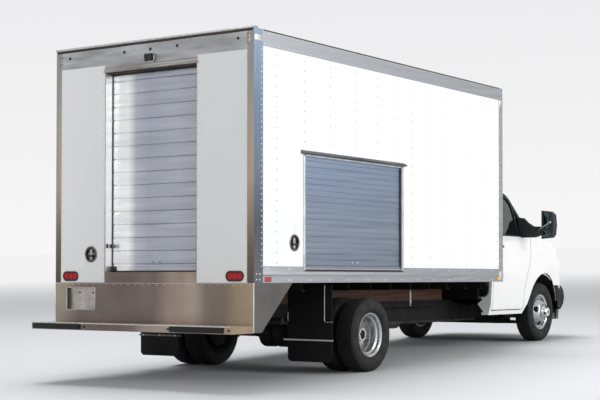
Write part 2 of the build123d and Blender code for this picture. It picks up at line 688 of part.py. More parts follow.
def chassis_frame():
    """Two channel rails, kicked up over the rear axle, and their cross tubes."""
    points = list(RAIL_POINTS_TOP) + list(RAIL_POINTS_LOW)
    plane = Plane(origin=(0, FRAME_Y - FRAME_FLANGE, 0), x_dir=(1, 0, 0), z_dir=(0, -1, 0))
    outline = Polygon(*points)
    hollow = offset(outline, -FRAME_T, kind=Kind.ARC)
    rail = extrude(plane * outline, amount=FRAME_FLANGE, dir=(0, 1, 0))
    rail -= extrude(plane * hollow, amount=FRAME_FLANGE - FRAME_T, dir=(0, 1, 0))
    frame = both_sides(rail)
    for x, z in CROSS_TUBES:
        frame += y_cylinder(CROSS_TUBE_R, x, z, -FRAME_Y + FRAME_T / 2, FRAME_Y - FRAME_T / 2)
    for x, z in CAB_MOUNTS:
        height = CAB_FLOOR_Z - CAB_FLOOR_T - z
        mount = Pos(x, FRAME_Y - FRAME_FLANGE / 2, z) * Cylinder(
            CAB_MOUNT_R, height, align=(Align.CENTER, Align.CENTER, Align.MIN))
        frame += both_sides(mount)
    return frame


def wood_sills():
    """The two timber sills between the chassis rails and the cross members."""
    sill = block(SILL_REAR, SILL_FRONT, FRAME_Y - SILL_W, FRAME_Y, FRAME_TOP, FRAME_TOP + SILL_H)
    return group([sill, mirror(sill, about=Plane.XZ)])


def mud_flaps():
    """A rounded rubber flap behind each pair of rear tyres."""
    flaps = []
    for side in (-1, 1):
        points = [(side * FLAP_Y0, FLAP_Z0), (side * FLAP_Y1, FLAP_Z0),
                  (side * FLAP_Y1, FLAP_TOP), (side * FLAP_Y0, FLAP_TOP)]
        flaps.append(front_prism(points, FLAP_X - FLAP_T / 2, FLAP_X + FLAP_T / 2,
                                 rounds=((0, FLAP_ROUND), (1, FLAP_ROUND))))
    return group(flaps)


def flap_hangers():
    """The bright bars that hold each mud flap: one across it and a bent rod above."""
    back = FLAP_X - FLAP_T / 2
    rear = back - HANGER_BAR
    wide = HANGER_POST_W
    hangers = block(rear, back, FLAP_Y0 - FLAP_ROUND, FLAP_Y1 + wide, FLAP_BAR_Z - 10, FLAP_BAR_Z + 10)
    hangers += block(rear, back, HANGER_POST_Y, HANGER_POST_Y + wide, FLAP_BAR_Z, FLAP_TOP)
    hangers += block(rear, back, HANGER_POST_Y, FLAP_Y1 + wide / 2, HANGER_ARM_Z,
                     HANGER_ARM_Z + wide)
    hangers += block(rear, back, FLAP_Y0, FLAP_Y0 + wide, FLAP_BAR_Z, HANGER_INNER_Z)
    return group([hangers, mirror(hangers, about=Plane.XZ)])


def rear_axle():
    """Axle tubes, differential, backing plates and the shaft to the gearbox."""
    axle = y_cylinder(AXLE_TUBE_R, 0, AXLE_Z, -AXLE_END, AXLE_END)
    bulb = [(0, 0), (0, DIFF_R * 0.7), (35, DIFF_R), (150, DIFF_R), (215, AXLE_TUBE_R + 10),
            (300, AXLE_TUBE_R), (300, 0)]
    half = revolve(Polygon(*[(r, y) for y, r in bulb]), axis=Axis.Y)
    axle += Pos(0, DIFF_Y - 90, AXLE_Z) * half
    axle += Pos(0, DIFF_Y - 90, AXLE_Z) * mirror(half, about=Plane.XZ)
    for side in (-1, 1):
        axle += y_cylinder(DRUM_R, 0, AXLE_Z, side * (AXLE_END - 14), side * AXLE_END)
    axle += x_cylinder(60, 0, AXLE_Z, 60, PINION_X)
    length = ((GEARBOX_X - PINION_X) ** 2 + (GEARBOX_Z - AXLE_Z) ** 2) ** 0.5 - SHAFT_SHORT
    shaft = Plane(origin=(PINION_X, 0, AXLE_Z), z_dir=(GEARBOX_X - PINION_X, 0, GEARBOX_Z - AXLE_Z))
    axle += shaft * Cylinder(SHAFT_R, length, align=(Align.CENTER, Align.CENTER, Align.MIN))
    return axle


def leaf_springs():
    """Leaf packs on the axle with their hangers, and the U-bolt plates."""
    springs = []
    low = AXLE_Z + AXLE_TUBE_R
    for side in (-1, 1):
        y0 = side * (SPRING_Y - SPRING_W / 2)
        y1 = side * (SPRING_Y + SPRING_W / 2)
        leaves = side_prism([(-SPRING_HALF, low + 95), (-SPRING_HALF + 12, low + 80),
                             (-260, low), (260, low), (SPRING_HALF - 12, low + 80),
                             (SPRING_HALF, low + 95), (260, low + 48), (-260, low + 48)],
                            min(y0, y1), max(y0, y1))
        spring = leaves
        for x in (-SPRING_HALF, SPRING_HALF):
            spring += y_cylinder(34, x, low + 95, side * FRAME_Y, side * (SPRING_Y + 42))
            spring += block(x - 40, x + 40, side * FRAME_Y, side * (FRAME_Y + 14),
                            low + 60, FRAME_TOP - 20)
        for x in (-62, 62):
            spring += block(x - 8, x + 8, y0 + side * -10, y1 + side * 10, AXLE_Z - 66, low + 70)
        springs.append(spring)
    return group(springs)


def engine():
    """The engine as one plain block with its gearbox and its mounts on the frame."""
    body = block(ENGINE_X0, ENGINE_X1, -ENGINE_Y, ENGINE_Y, ENGINE_Z0, ENGINE_Z1)
    body += x_cylinder(GEARBOX_R, 0, GEARBOX_Z, GEARBOX_X, ENGINE_X0)
    middle = (ENGINE_X0 + ENGINE_X1) / 2
    arm = block(middle - 40, middle + 40, ENGINE_Y, FRAME_Y - FRAME_T, 520, 560)
    return body + both_sides(arm)


def fuel_tank():
    """The tank outside the left chassis rail, behind the cab."""
    x0, x1, z0, z1 = TANK
    y0 = FRAME_Y + TANK_GAP
    tank = block(x0, x1, y0, y0 + TANK_W, z0, z1)
    tank = fillet(tank.edges().filter_by(Axis.X), TANK_ROUND)
    for x in STRAP_XS:
        tank += block(x, x + STRAP_W, FRAME_Y, y0 + TANK_W + STRAP_T, z0 - STRAP_T, z1 + STRAP_T)
    return tank


def exhaust():
    """Silencer under the right rail with its pipes, turned out ahead of the rear wheels."""
    pipe = x_cylinder(MUFFLER_R, EXHAUST_Y, EXHAUST_Z, *MUFFLER_ENDS)
    pipe += x_cylinder(EXHAUST_R, EXHAUST_Y, EXHAUST_Z, *EXHAUST_ENDS)
    pipe += Pos(EXHAUST_ENDS[0], EXHAUST_Y, EXHAUST_Z) * Sphere(EXHAUST_R)
    pipe += y_cylinder(EXHAUST_R, EXHAUST_ENDS[0], EXHAUST_Z, -TAILPIPE_Y, EXHAUST_Y)
    for x in EXHAUST_HANGERS:
        pipe += block(x, x + HANGER_W, FRAME_FLANGE - FRAME_Y, EXHAUST_Y,
                      EXHAUST_Z + 6, EXHAUST_Z + 6 + HANGER_T)
    return pipe


# ---- front axle --------------------------------------------------------------------


def front_suspension():
    """Lower and upper arms, the cross beam and the steering rack, both sides."""
    beam = block(FRONT_X - BEAM_HALF, FRONT_X + BEAM_HALF, -FRAME_Y - 20, FRAME_Y + 20,
                 FRONT_Z + BALL_LOW - 20, FRONT_Z + BALL_LOW + 60)
    for side in (-1, 1):
        for ball, spread, thick in ((BALL_LOW, 190, 34), (BALL_HIGH, 120, 26)):
            z = FRONT_Z + ball
            inner = side * FRAME_Y
            arm = plan_prism([(FRONT_X - spread, inner), (FRONT_X - 45, side * (KINGPIN_Y - 30)),
                              (FRONT_X - 45, side * (KINGPIN_Y + 40)),
                              (FRONT_X + 45, side * (KINGPIN_Y + 40)),
                              (FRONT_X + 45, side * (KINGPIN_Y - 30)), (FRONT_X + spread, inner)],
                             z - thick / 2, z + thick / 2)
            beam += arm
        tower = block(FRONT_X - 120, FRONT_X + 120, side * FRAME_Y, side * (FRAME_Y + TOWER_T),
                      FRONT_Z + BALL_LOW, FRONT_Z + BALL_HIGH + 40)
        beam += tower
    return beam


def knuckle(side):
    """The upright between the arms, with the spindle that carries the wheel."""
    low = FRONT_Z + BALL_LOW + 17 + ARM_CLEAR
    high = FRONT_Z + BALL_HIGH - 13 - ARM_CLEAR
    upright = Pos(FRONT_X, side * KINGPIN_Y, (low + high) / 2) * Cylinder(KNUCKLE_R, high - low)
    face = side * (FRONT_Y + DISC_OFFSET - DISC_T)
    spindle = y_cylinder(SPINDLE_R, FRONT_X, FRONT_Z, side * KINGPIN_Y,
                         face - side * SPINDLE_SHORT)
    steer_arm = plan_prism([(FRONT_X, side * (KINGPIN_Y - 20)), (FRONT_X - 150, side * (KINGPIN_Y - 95)),
                            (FRONT_X - 150, side * (KINGPIN_Y - 55)), (FRONT_X, side * (KINGPIN_Y + 20))],
                           FRONT_Z - 70, FRONT_Z - 50)
    return upright + spindle + steer_arm


# ---- wheels ------------------------------------------------------------------------
def tyre(x, y, z):
    """One tyre about its wheel's axis: bead, sidewall, shoulder and a flat tread band."""
    half = TYRE_W / 2
    side = [(75, BEAD_R + 2.5), (77, RIM_LIP_R + 0.5), (RIM_W / 2, RIM_LIP_R + 0.5),
            (104, 250), (half, 292), (108, 328), (99, 354), (84, 368), (66, TYRE_R)]
    profile = side + [(-w, r) for w, r in reversed(side)]
    return Pos(0, y, 0) * ring(profile, x, z, 1)


def rim(x, y, z, outward):
    """One steel rim and its disc. outward is the side its mounting face is on."""
    lip = RIM_W / 2
    barrel = [(lip, RIM_LIP_R), (78, RIM_LIP_R), (76, BEAD_R + 2), (50, BEAD_R), (38, 184),
              (-38, 184), (-50, BEAD_R), (-76, BEAD_R + 2), (-78, RIM_LIP_R),
              (-lip, RIM_LIP_R), (-lip, 216), (-72, BEAD_R - 5), (-47, BEAD_R - 6),
              (-36, 177), (36, 177), (47, BEAD_R - 6), (72, BEAD_R - 5), (lip, 216)]
    face = DISC_OFFSET
    disc = [(28, 179), (48, 178), (78, 166), (face - 12, 132), (face, 114), (face, HUB_BORE_R),
            (face - DISC_T, HUB_BORE_R), (face - DISC_T, 106), (face - 24, 122),
            (70, 155), (28, 166)]
    wheel = ring(barrel, x, z, outward) + ring(disc, x, z, outward)
    window = Plane(origin=(0, 0, 0), x_dir=(1, 0, 0), z_dir=(0, 1, 0))
    for k in range(HAND_HOLES):
        hole = extrude(window * Pos(HAND_HOLE_R, 0) * Ellipse(24, 40), amount=outward * 160)
        wheel -= Pos(x, 0, z) * Rot(0, HAND_HOLE_TURN + k * 360 / HAND_HOLES, 0) * hole
    return Pos(0, y, 0) * wheel


def front_rim(side):
    """Front rim with its hub, which turns on the spindle."""
    wheel = rim(FRONT_X, side * FRONT_Y, FRONT_Z, side)
    face = FRONT_Y + DISC_OFFSET
    drum = [(face - 95, FRONT_HUB_R), (face + 20, FRONT_HUB_R), (face + FRONT_HUB_OUT, 46),
            (face + FRONT_HUB_OUT, 0), (face - DISC_T - SPINDLE_SHORT + 0.3, 0),
            (face - DISC_T - SPINDLE_SHORT + 0.3, SPINDLE_R + SPINDLE_GAP),
            (face - 95, SPINDLE_R + SPINDLE_GAP)]
    hub = ring(drum, FRONT_X, FRONT_Z, side)
    flange = ring([(face - DISC_T - 12, 100), (face - DISC_T, 100), (face - DISC_T, 50),
                   (face - DISC_T - 12, 50)], FRONT_X, FRONT_Z, side)
    return wheel + hub + flange


def rear_rims(side):
    """Two rims disc to disc, with the brake drum and the hub between them."""
    inner = rim(0, side * (REAR_Y - DUAL_SPACING / 2), AXLE_Z, side)
    outer = rim(0, side * (REAR_Y + DUAL_SPACING / 2), AXLE_Z, -side)
    drum = ring([(AXLE_END + 0.4, DRUM_R - 6), (REAR_Y - 60, DRUM_R - 6), (REAR_Y - 40, 110),
                 (REAR_Y + 10, REAR_HUB_R), (REAR_Y + REAR_HUB_OUT, REAR_HUB_R - 8),
                 (REAR_Y + REAR_HUB_OUT, 0), (AXLE_END + 0.4, 0)], 0, AXLE_Z, side)
    return inner + outer + drum


def rear_tyres(side):
    """The two tyres of a dual pair."""
    return group([tyre(0, side * (REAR_Y + k * DUAL_SPACING), AXLE_Z) for k in (-0.5, 0.5)])


# ---- cab ---------------------------------------------------------------------------
def outline(start, *steps):
    """A closed flat outline. Each step is a corner, or (middle, end) for an arc."""
    edges = []
    here = start
    for step in steps:
        if isinstance(step[0], tuple):
            edges.append(ThreePointArc(here, step[0], step[1]))
            here = step[1]
        else:
            edges.append(Line(here, step))
            here = step
    edges.append(Line(here, start))
    return make_face(edges)


def corner_prism(side, inset):
    """The space behind one front corner, drawn square to the corner's diagonal."""
    reach = [(0, 0), (CORNER_LINE[0][0], 0), CORNER_LINE[0], CORNER_LINE[1:3], CORNER_LINE[3:5],
             CORNER_LINE[5:7], (CORNER_LINE[6][0], CORNER_SPAN), (0, CORNER_SPAN)]
    face = outline(*reach)
    if inset:
        face = offset(face, -inset, kind=Kind.ARC)
    along = (cos(radians(CORNER_TURN)), side * sin(radians(CORNER_TURN)), 0)
    square = (side * sin(radians(CORNER_TURN)), -cos(radians(CORNER_TURN)), 0)
    plane = Plane(origin=(0, 0, 0), x_dir=along, z_dir=square)
    return extrude(plane * face, amount=CORNER_SPAN, both=True)


def cab_plan():
    """The cab's outline seen from above."""
    shoulder, corner, lamp, tip = NOSE_PLAN
    return outline((CAB_BACK, -CAB_Y), (shoulder[0], -CAB_Y),
                   ((corner[0], -corner[1]), (lamp[0], -lamp[1])), (tip, lamp), (corner, shoulder),
                   (CAB_BACK, CAB_Y))


def cab_solid(inset):
    """The cab's whole outer form, drawn in by inset on every side."""
    side = outline((CAB_BACK, CAB_BASE), ROOF_BACK[0], ROOF_BACK[1:], ROOF_BROW[0],
                   ROOF_BROW[1:], (COWL_X - COWL_HALF, COWL_Z + 8), (COWL_X + COWL_HALF, COWL_Z),
                   HOOD_LINE, NOSE_LINE[0:2], NOSE_LINE[2:4], *CHIN)
    left = [(-y, z) for y, z in reversed(CAB_SECTION)]
    section = Polygon(*(list(CAB_SECTION) + left))
    plan = cab_plan()
    if inset:
        side, section, plan = (offset(f, -inset, kind=Kind.ARC)
                               for f in (side, section, plan))
    solid = Pos(0, -CAB_SPAN, 0) * extrude(XZ * side, amount=-2 * CAB_SPAN)
    solid &= Pos(CAB_BACK - 100, 0, 0) * extrude(YZ * section, amount=NOSE_X)
    solid &= extrude(plan, amount=CAB_ROOF_Z + 100)
    for corner_side in (-1, 1):
        solid &= corner_prism(corner_side, inset)
    return solid


def door_outline(grow):
    """The cab door seen from the side, grown by grow all round."""
    shape = outline((DOOR_X0, DOOR_Z0), (DOOR_X1, DOOR_Z0), DOOR_FRONT[0], DOOR_FRONT[1:3],
                    *DOOR_FRONT[3:], DOOR_CROWN, DOOR_TAIL[0], DOOR_TAIL[1:])
    if grow:
        shape = offset(shape, grow, kind=Kind.ARC)
    return shape


def window_outline():
    """The door's window opening seen from the side."""
    return outline((WINDOW_REAR, WINDOW_SILL), *WINDOW_FRONT, WINDOW_CROWN, WINDOW_TAIL[0],
                   WINDOW_TAIL[1:])


def arch_outline():
    """The front wheel's opening in the fender, seen from the side."""
    return outline(ARCH_EDGE[0], ARCH_EDGE[1], ARCH_EDGE[2], ARCH_EDGE[3:5], ARCH_EDGE[5:7],
                   *ARCH_EDGE[7:])


def side_cut(face, side, inner=CUT_IN):
    """A side outline drawn through one side of the cab."""
    return Pos(0, side * inner, 0) * extrude(XZ * face, amount=-side * (CAB_SPAN - inner))


def windscreen_cut():
    """The windscreen opening, drawn rearwards through the raked front of the cab."""
    half = list(WINDSCREEN)
    left = [(-y, z) for y, z in reversed(half)]
    return Pos(SCREEN_BACK, 0, 0) * extrude(YZ * Polygon(*(half + left)),
                                            amount=HOOD_X - SCREEN_BACK)


def wheel_arch(radius, inner):
    """The space of both front wheels, from inner outwards."""
    return both_sides(y_cylinder(radius, FRONT_X, FRONT_Z, inner, CAB_SPAN))


def cab_skin():
    """The sheet-metal skin of the cab and front end, all in one."""
    return cab_solid(0) - cab_solid(CAB_WALL)


def cab_zone():
    """The space of the cab's own skins: all but the front end."""
    cowl_end = HOOD_X - SHUT_GAP
    rear = block(CAB_BACK - 10, CLIP_X, -CAB_SPAN, CAB_SPAN, 0, CAB_ROOF_Z + 100)
    upper = block(CAB_BACK, cowl_end, -CAB_SPAN, CAB_SPAN, COWL_Z - COWL_LIP, CAB_ROOF_Z + 100)
    cowl = block(COWL_IN_X, cowl_end, -HOOD_HALF, HOOD_HALF, COWL_Z - COWL_DROP, CAB_ROOF_Z)
    return rear + upper + cowl


def cab_shell():
    """The welded cab: skins, pillars, roof, back, floor and firewall."""
    shell = cab_skin() & cab_zone()
    floor_low = CAB_FLOOR_Z - CAB_FLOOR_T
    cowl_end = HOOD_X - SHUT_GAP - BULK_SET
    linings = block(CAB_BACK + 5, BULK_X + BULK_T, -CAB_Y, CAB_Y, floor_low, CAB_FLOOR_Z)
    linings += block(BULK_X, BULK_X + BULK_T, -CAB_Y, CAB_Y, floor_low, BULK_Z)
    linings += block(BULK_X, cowl_end, -CAB_Y, CAB_Y, BULK_Z - BULK_SHEET, BULK_Z)
    linings += block(cowl_end - CAB_FLOOR_T, cowl_end, -CAB_Y, CAB_Y, BULK_Z - BULK_SHEET, COWL_Z)
    shell += linings & cab_solid(CAB_WALL)
    shell -= block(CAB_BACK - 10, CLIP_X + 10, -ROCKER_IN, ROCKER_IN, 0, floor_low)
    shell -= both_sides(block(CAB_BACK - 10, SIDE_REAR_X, ROCKER_IN, CAB_SPAN, 0, SIDE_REAR_Z))
    shell += both_sides(front_prism(GUSSET, SIDE_REAR_X - 1, SIDE_REAR_X + GUSSET_T))
    for side in (-1, 1):
        shell -= side_cut(door_outline(DOOR_GAP), side)
    shell -= windscreen_cut()
    shell -= wheel_arch(ARCH_R + 14, HOUSE_IN - HOUSE_T)
    return shell


def hinge_pockets(side):
    """Where the door's hinges sit in the fender's edge."""
    pockets = []
    for z in HINGE_ZS:
        high = HINGE_H / 2 + HINGE_ROOM
        pocket = block(HINGE_X - HINGE_LEAF_L, HINGE_X,
                       side * (CAB_Y - HINGE_LEAF_T - HINGE_ROOM), side * CAB_SPAN, z - high, z + high)
        pocket += Pos(HINGE_X, side * CAB_Y, z) * Cylinder(HINGE_R + HINGE_FIT, 2 * high)
        pockets.append(pocket)
    return pockets


def hinge_leaves(side):
    """The door's half of each hinge, about the hinge line."""
    leaves = []
    for z in HINGE_ZS:
        leaf = block(HINGE_X - HINGE_LEAF_L, HINGE_X, side * (CAB_Y - HINGE_LEAF_T),
                     side * CAB_Y, z - HINGE_H / 2, z + HINGE_H / 2)
        leaf += Pos(HINGE_X, side * CAB_Y, z) * Cylinder(HINGE_R, HINGE_H)
        leaves.append(leaf)
    return leaves


def door(side):
    """A cab door with its window opening and hinges."""
    panel = cab_skin() & side_cut(door_outline(0), side)
    panel -= side_cut(window_outline(), side)
    for leaf in hinge_leaves(side):
        panel += leaf
    return panel


def glass_of(depth):
    """A sheet of glass set depth inside the cab's outer form."""
    return cab_solid(depth) - cab_solid(depth + GLASS_T)


def front_clip():
    """Skins of the front end: everything ahead of the doors and below the cowl."""
    skin = cab_skin() & block(CLIP_X, NOSE_X + 10, -CAB_SPAN, CAB_SPAN, 0, CAB_ROOF_Z)
    skin -= block(CLIP_X - 10, HOOD_X - SHUT_GAP, -CAB_SPAN, CAB_SPAN,
                  COWL_Z - COWL_LIP, CAB_ROOF_Z + 100)
    skin -= block(COWL_IN_X, HOOD_X - SHUT_GAP, -HOOD_HALF, HOOD_HALF,
                  COWL_Z - COWL_DROP, CAB_ROOF_Z)
    skin -= block(FRONT_X, NOSE_X + 100, -CAB_SPAN, CAB_SPAN, 0, DAM_Z)
    skin -= block(DOOR_X1, NOSE_X + 100, -ROCKER_IN, ROCKER_IN, 0, DAM_Z)
    return skin


def hood_space(grow):
    """The space that the hood fills, grown by grow."""
    return block(HOOD_X - grow, NOSE_X + 50, -HOOD_HALF - grow, HOOD_HALF + grow,
                 HOOD_LOW - grow, CAB_ROOF_Z)


def hood():
    """The hood, from the cowl over the nose down to the grille, with its hinge barrels."""
    panel = front_clip() & hood_space(0)
    for y in (-HOOD_HINGE_Y, HOOD_HINGE_Y):
        panel += y_cylinder(SHUT_GAP - HINGE_FIT, HOOD_X, COWL_Z, y - HINGE_H, y + HINGE_H)
    return panel


def fenders():
    """Both fenders with the nose panel, wheelhouses and inner walls."""
    wings = front_clip() - hood_space(SHUT_GAP)
    for side in (-1, 1):
        wings -= side_cut(door_outline(DOOR_GAP), side)
        for pocket in hinge_pockets(side):
            wings -= pocket
    wings -= block(GRILLE_X, NOSE_X + 50, -LAMP_Y1, LAMP_Y1, GRILLE_Z0, GRILLE_Z1)
    wings -= both_sides(y_cylinder(ARCH_R, FRONT_X, FRONT_Z, HOUSE_IN - HOUSE_T,
                                   CAB_Y - 2 * CAB_WALL))
    for side in (-1, 1):
        wings -= side_cut(arch_outline(), side, HOUSE_IN - HOUSE_T)
    house = wheel_arch(ARCH_R + HOUSE_T, HOUSE_IN) - wheel_arch(ARCH_R, HOUSE_IN - HOUSE_T)
    house &= block(3900, 5200, -CAB_Y + 20, CAB_Y - 20, DAM_Z, 1100)
    walls = both_sides(block(BULK_X + BULK_T + 6, 5150, HOUSE_IN - HOUSE_T, HOUSE_IN,
                             730, WALL_TOP))
    return wings + house + walls


def grille():
    """The grille: bars across a dark frame."""
    body = cab_skin() & block(GRILLE_X, NOSE_X + 50, -GRILLE_Y, GRILLE_Y, GRILLE_Z0, GRILLE_Z1)
    pitch = (GRILLE_Z1 - GRILLE_Z0 - 38) / GRILLE_BARS
    for k in range(GRILLE_BARS):
        z = GRILLE_Z0 + 30 + k * pitch
        body -= block(NOSE_X - GRILLE_SET, NOSE_X + 50, -GRILLE_Y + 25, GRILLE_Y - 25,
                      z, z + GRILLE_SLOT)
    return body


def headlamps():
    """A stacked lamp each side of the grille."""
    zone = block(GRILLE_X, NOSE_X + 50, GRILLE_Y, LAMP_Y1, GRILLE_Z0, GRILLE_Z1)
    return both_sides(cab_skin() & zone)


def bumper_plan(out, z):
    """The front bumper's outline at height z, out beyond its widest line."""
    (end_x, end_y), (flat_x, flat_y), (bend_x, bend_y), (corner_x, corner_y), (tip, _) = BUMPER_PLAN
    end_y, flat_y, bend_y = end_y + out, flat_y + out, bend_y + out * 0.7
    bend_x, corner_x, tip = bend_x + out * 0.7, corner_x + out, tip + out
    face = outline((end_x, -end_y), (flat_x, -flat_y), ((bend_x, -bend_y), (corner_x, -corner_y)),
                   ((tip, 0), (corner_x, corner_y)), ((bend_x, bend_y), (flat_x, flat_y)),
                   (end_x, end_y))
    return Pos(0, 0, z) * face


def front_bumper():
    """The dark wrap-round bumper with its air dam."""
    bar = loft([bumper_plan(out, z) for z, out in BUMPER_BANDS], ruled=True)
    top, foot = DAM_PLANS
    dam = loft([bumper_plan(top, DAM_TOP), bumper_plan(foot, DAM_BASE)], ruled=True)
    dam -= loft([bumper_plan(top - DAM_WALL - 10, DAM_TOP + 5),
                 bumper_plan(foot - DAM_WALL, DAM_BASE - 5)], ruled=True)
    dam &= block(DAM_X, BUMPER_PLAN[-1][0], -DAM_HALF, DAM_HALF, 0, DAM_TOP)
    bar -= extrude(Pos(0, 0, BUMPER_BASE - 5) * cab_plan(), amount=BUMPER_TOP - BUMPER_BASE + 10)
    bar -= both_sides(y_cylinder(BUMPER_ROOM_R, FRONT_X, FRONT_Z, HOUSE_IN - HOUSE_T, BUMPER_END_IN))
    bar -= both_sides(y_cylinder(BUMPER_END_R, FRONT_X, FRONT_Z, BUMPER_END_IN, CAB_SPAN))
    return bar + dam


def seats():
    """Two cab seats on their boxes."""
    chairs = []
    for side in (-1, 1):
        seat_z = CAB_FLOOR_Z + SEAT_H
        base = block(3180, 3620, side * (SEAT_Y - 210), side * (SEAT_Y + 210),
                     CAB_FLOOR_Z, seat_z - 130)
        cushion = block(3150, 3650, side * (SEAT_Y - 250), side * (SEAT_Y + 250),
                        seat_z - 130, seat_z)
        cushion = fillet(cushion.edges().filter_by(Axis.Y).group_by(Axis.X)[-1], 45)
        back = side_prism([(3150, seat_z), (3310, seat_z), (3190, seat_z + 700),
                           (3080, seat_z + 700)], side * SEAT_Y - 240, side * SEAT_Y + 240,
                          rounds=((2, 50), (3, 40)))
        chairs.append(base + cushion + back)
    return group(chairs)


def steering_plane():
    """Middle of the steering wheel, its axis pointing up and back at the driver."""
    return Plane(origin=(WHEEL_X, SEAT_Y, WHEEL_Z),
                 z_dir=(-cos(radians(WHEEL_TILT)), 0, sin(radians(WHEEL_TILT))))


def steering_wheel():
    """Rim, hub and three spokes."""
    rim_part = Torus(WHEEL_R, 15)
    hub = Pos(0, 0, -40) * Cylinder(48, 50, align=(Align.CENTER, Align.CENTER, Align.MIN))
    wheel = rim_part + hub
    for turn in (90, 210, 330):
        spoke = Pos(0, 0, -10) * Rot(0, 0, turn) * Pos(WHEEL_R / 2, 0, 0) * Box(WHEEL_R, 34, 14)
        wheel += spoke
    return steering_plane() * wheel


def dashboard():
    """The dash across the cab with the steering column."""
    dash = side_prism([(BULK_X, BULK_Z), (HOOD_X - 60, BULK_Z), (HOOD_X - 60, 1400), (4200, 1440),
                       (4000, 1420), (3940, 1330), (4000, 1080), (BULK_X, 1040)], -DASH_Y, DASH_Y)
    dash &= cab_solid(CAB_WALL)
    column = steering_plane() * Pos(0, 0, -COLUMN_L - 40.3) * Cylinder(
        34, COLUMN_L, align=(Align.CENTER, Align.CENTER, Align.MIN))
    return dash + column


def door_mirror(side):
    """A tall mirror head on its long arm, with the sail plate that holds it to the door."""
    rings = [Plane(origin=(x, 0, 0), x_dir=(0, 1, 0), z_dir=(1, 0, 0))
             * Polygon(*[(side * y, z) for y, z in corners], align=None)
             for x, corners in MIRROR_RINGS]
    head = loft(rings, ruled=True)
    arm = front_prism([(side * y, z) for y, z in MIRROR_ARM], *MIRROR_ARM_X) - cab_solid(0)
    sail = side_cut(outline(*MIRROR_SAIL), side) & (cab_solid(-MIRROR_SAIL_T) - cab_solid(0))
    return head + arm + sail


# ---- assembly ----------------------------------------------------------------------
def build():
    """Every piece in body axes, by node name."""
    pieces = {
        "chassis_frame": chassis_frame(),
        "wood_sills": wood_sills(),
        "box_floor": box_floor(),
        "box_rails": box_rails(),
        "side_wall_left": side_wall(1),
        "side_wall_right": side_wall(-1),
        "front_wall": front_wall(),
        "roof": roof(),
        "rear_frame": rear_frame(),
        "rear_panels": rear_panels(),
        "rear_roller_door": rear_roller_door(),
        "side_door_frame": side_door_frame(),
        "side_roller_door": side_roller_door(),
        "latch_dishes": latch_dishes(),
        "marker_lamps": marker_lamps(),
        "tail_lamps": tail_lamps(),
        "rear_apron": rear_apron(),
        "step_bumper": step_bumper(),
        "bumper_pads": bumper_pads(),
        "mud_flaps": mud_flaps(),
        "flap_hangers": flap_hangers(),
        "rear_axle": rear_axle(),
        "leaf_springs": leaf_springs(),
        "engine": engine(),
        "fuel_tank": fuel_tank(),
        "exhaust": exhaust(),
        "front_suspension": front_suspension(),
        "cab_shell": cab_shell(),
        "windscreen": glass_of(SCREEN_SET) & windscreen_cut(),
        "hood": hood(),
        "fenders": fenders(),
        "grille": grille(),
        "headlamps": headlamps(),
        "front_bumper": front_bumper(),
        "seats": seats(),
        "dashboard": dashboard(),
        "steering_wheel": steering_wheel(),
    }
    for name, side in (("left", 1), ("right", -1)):
        pieces["door_" + name] = door(side)
        pieces["door_glass_" + name] = glass_of(GLASS_SET) & side_cut(window_outline(), side)
        pieces["mirror_" + name] = door_mirror(side)
        pieces["knuckle_" + name] = knuckle(side)
        pieces["tyre_front_" + name] = tyre(FRONT_X, side * FRONT_Y, FRONT_Z)
        pieces["rim_front_" + name] = front_rim(side)
        pieces["tyres_rear_" + name] = rear_tyres(side)
        pieces["rims_rear_" + name] = rear_rims(side)
    return pieces


def stance(shape):
    """Turn a piece from body axes to its parked stance on level ground."""
    return Pos(0, 0, AXLE_Z) * Rot(0, RAKE, 0) * Pos(0, 0, -AXLE_Z) * shape


if __name__ == "__main__":
    parked = {name: stance(piece) for name, piece in build().items()}
    ends = [parked[name].bounding_box() for name in ("step_bumper", "bumper_pads", "front_bumper")]
    middle = (min(b.min.X for b in ends) + max(b.max.X for b in ends)) / 2
    os.makedirs("parts", exist_ok=True)
    for name, piece in parked.items():
        export_step(Pos(-middle, 0, 0) * piece, f"parts/{name}.step")
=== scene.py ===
"""Looks of a box truck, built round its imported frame. All lengths are metres."""
import json

import bmesh
import bpy
import numpy as np
from mathutils import Matrix, Vector

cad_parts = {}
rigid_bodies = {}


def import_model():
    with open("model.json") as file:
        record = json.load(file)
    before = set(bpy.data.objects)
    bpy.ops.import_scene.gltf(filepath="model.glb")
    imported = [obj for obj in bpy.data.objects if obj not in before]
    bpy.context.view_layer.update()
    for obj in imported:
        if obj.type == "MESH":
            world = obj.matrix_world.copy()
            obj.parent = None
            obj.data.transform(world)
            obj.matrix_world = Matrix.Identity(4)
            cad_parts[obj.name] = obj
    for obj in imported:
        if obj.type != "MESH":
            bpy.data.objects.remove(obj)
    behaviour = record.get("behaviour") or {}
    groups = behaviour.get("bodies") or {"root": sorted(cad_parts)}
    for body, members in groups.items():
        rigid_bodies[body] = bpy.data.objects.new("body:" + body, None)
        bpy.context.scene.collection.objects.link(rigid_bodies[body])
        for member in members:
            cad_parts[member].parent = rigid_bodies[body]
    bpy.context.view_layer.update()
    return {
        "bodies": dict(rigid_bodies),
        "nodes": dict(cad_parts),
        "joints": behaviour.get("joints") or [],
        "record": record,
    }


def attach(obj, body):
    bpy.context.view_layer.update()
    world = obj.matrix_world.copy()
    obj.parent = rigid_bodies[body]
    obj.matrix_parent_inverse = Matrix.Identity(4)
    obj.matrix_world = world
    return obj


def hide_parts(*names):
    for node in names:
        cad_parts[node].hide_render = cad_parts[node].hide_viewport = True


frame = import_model()
NODES = frame["nodes"]
JOINTS = {joint["name"]: joint for joint in frame["record"]["behaviour"]["joints"]}

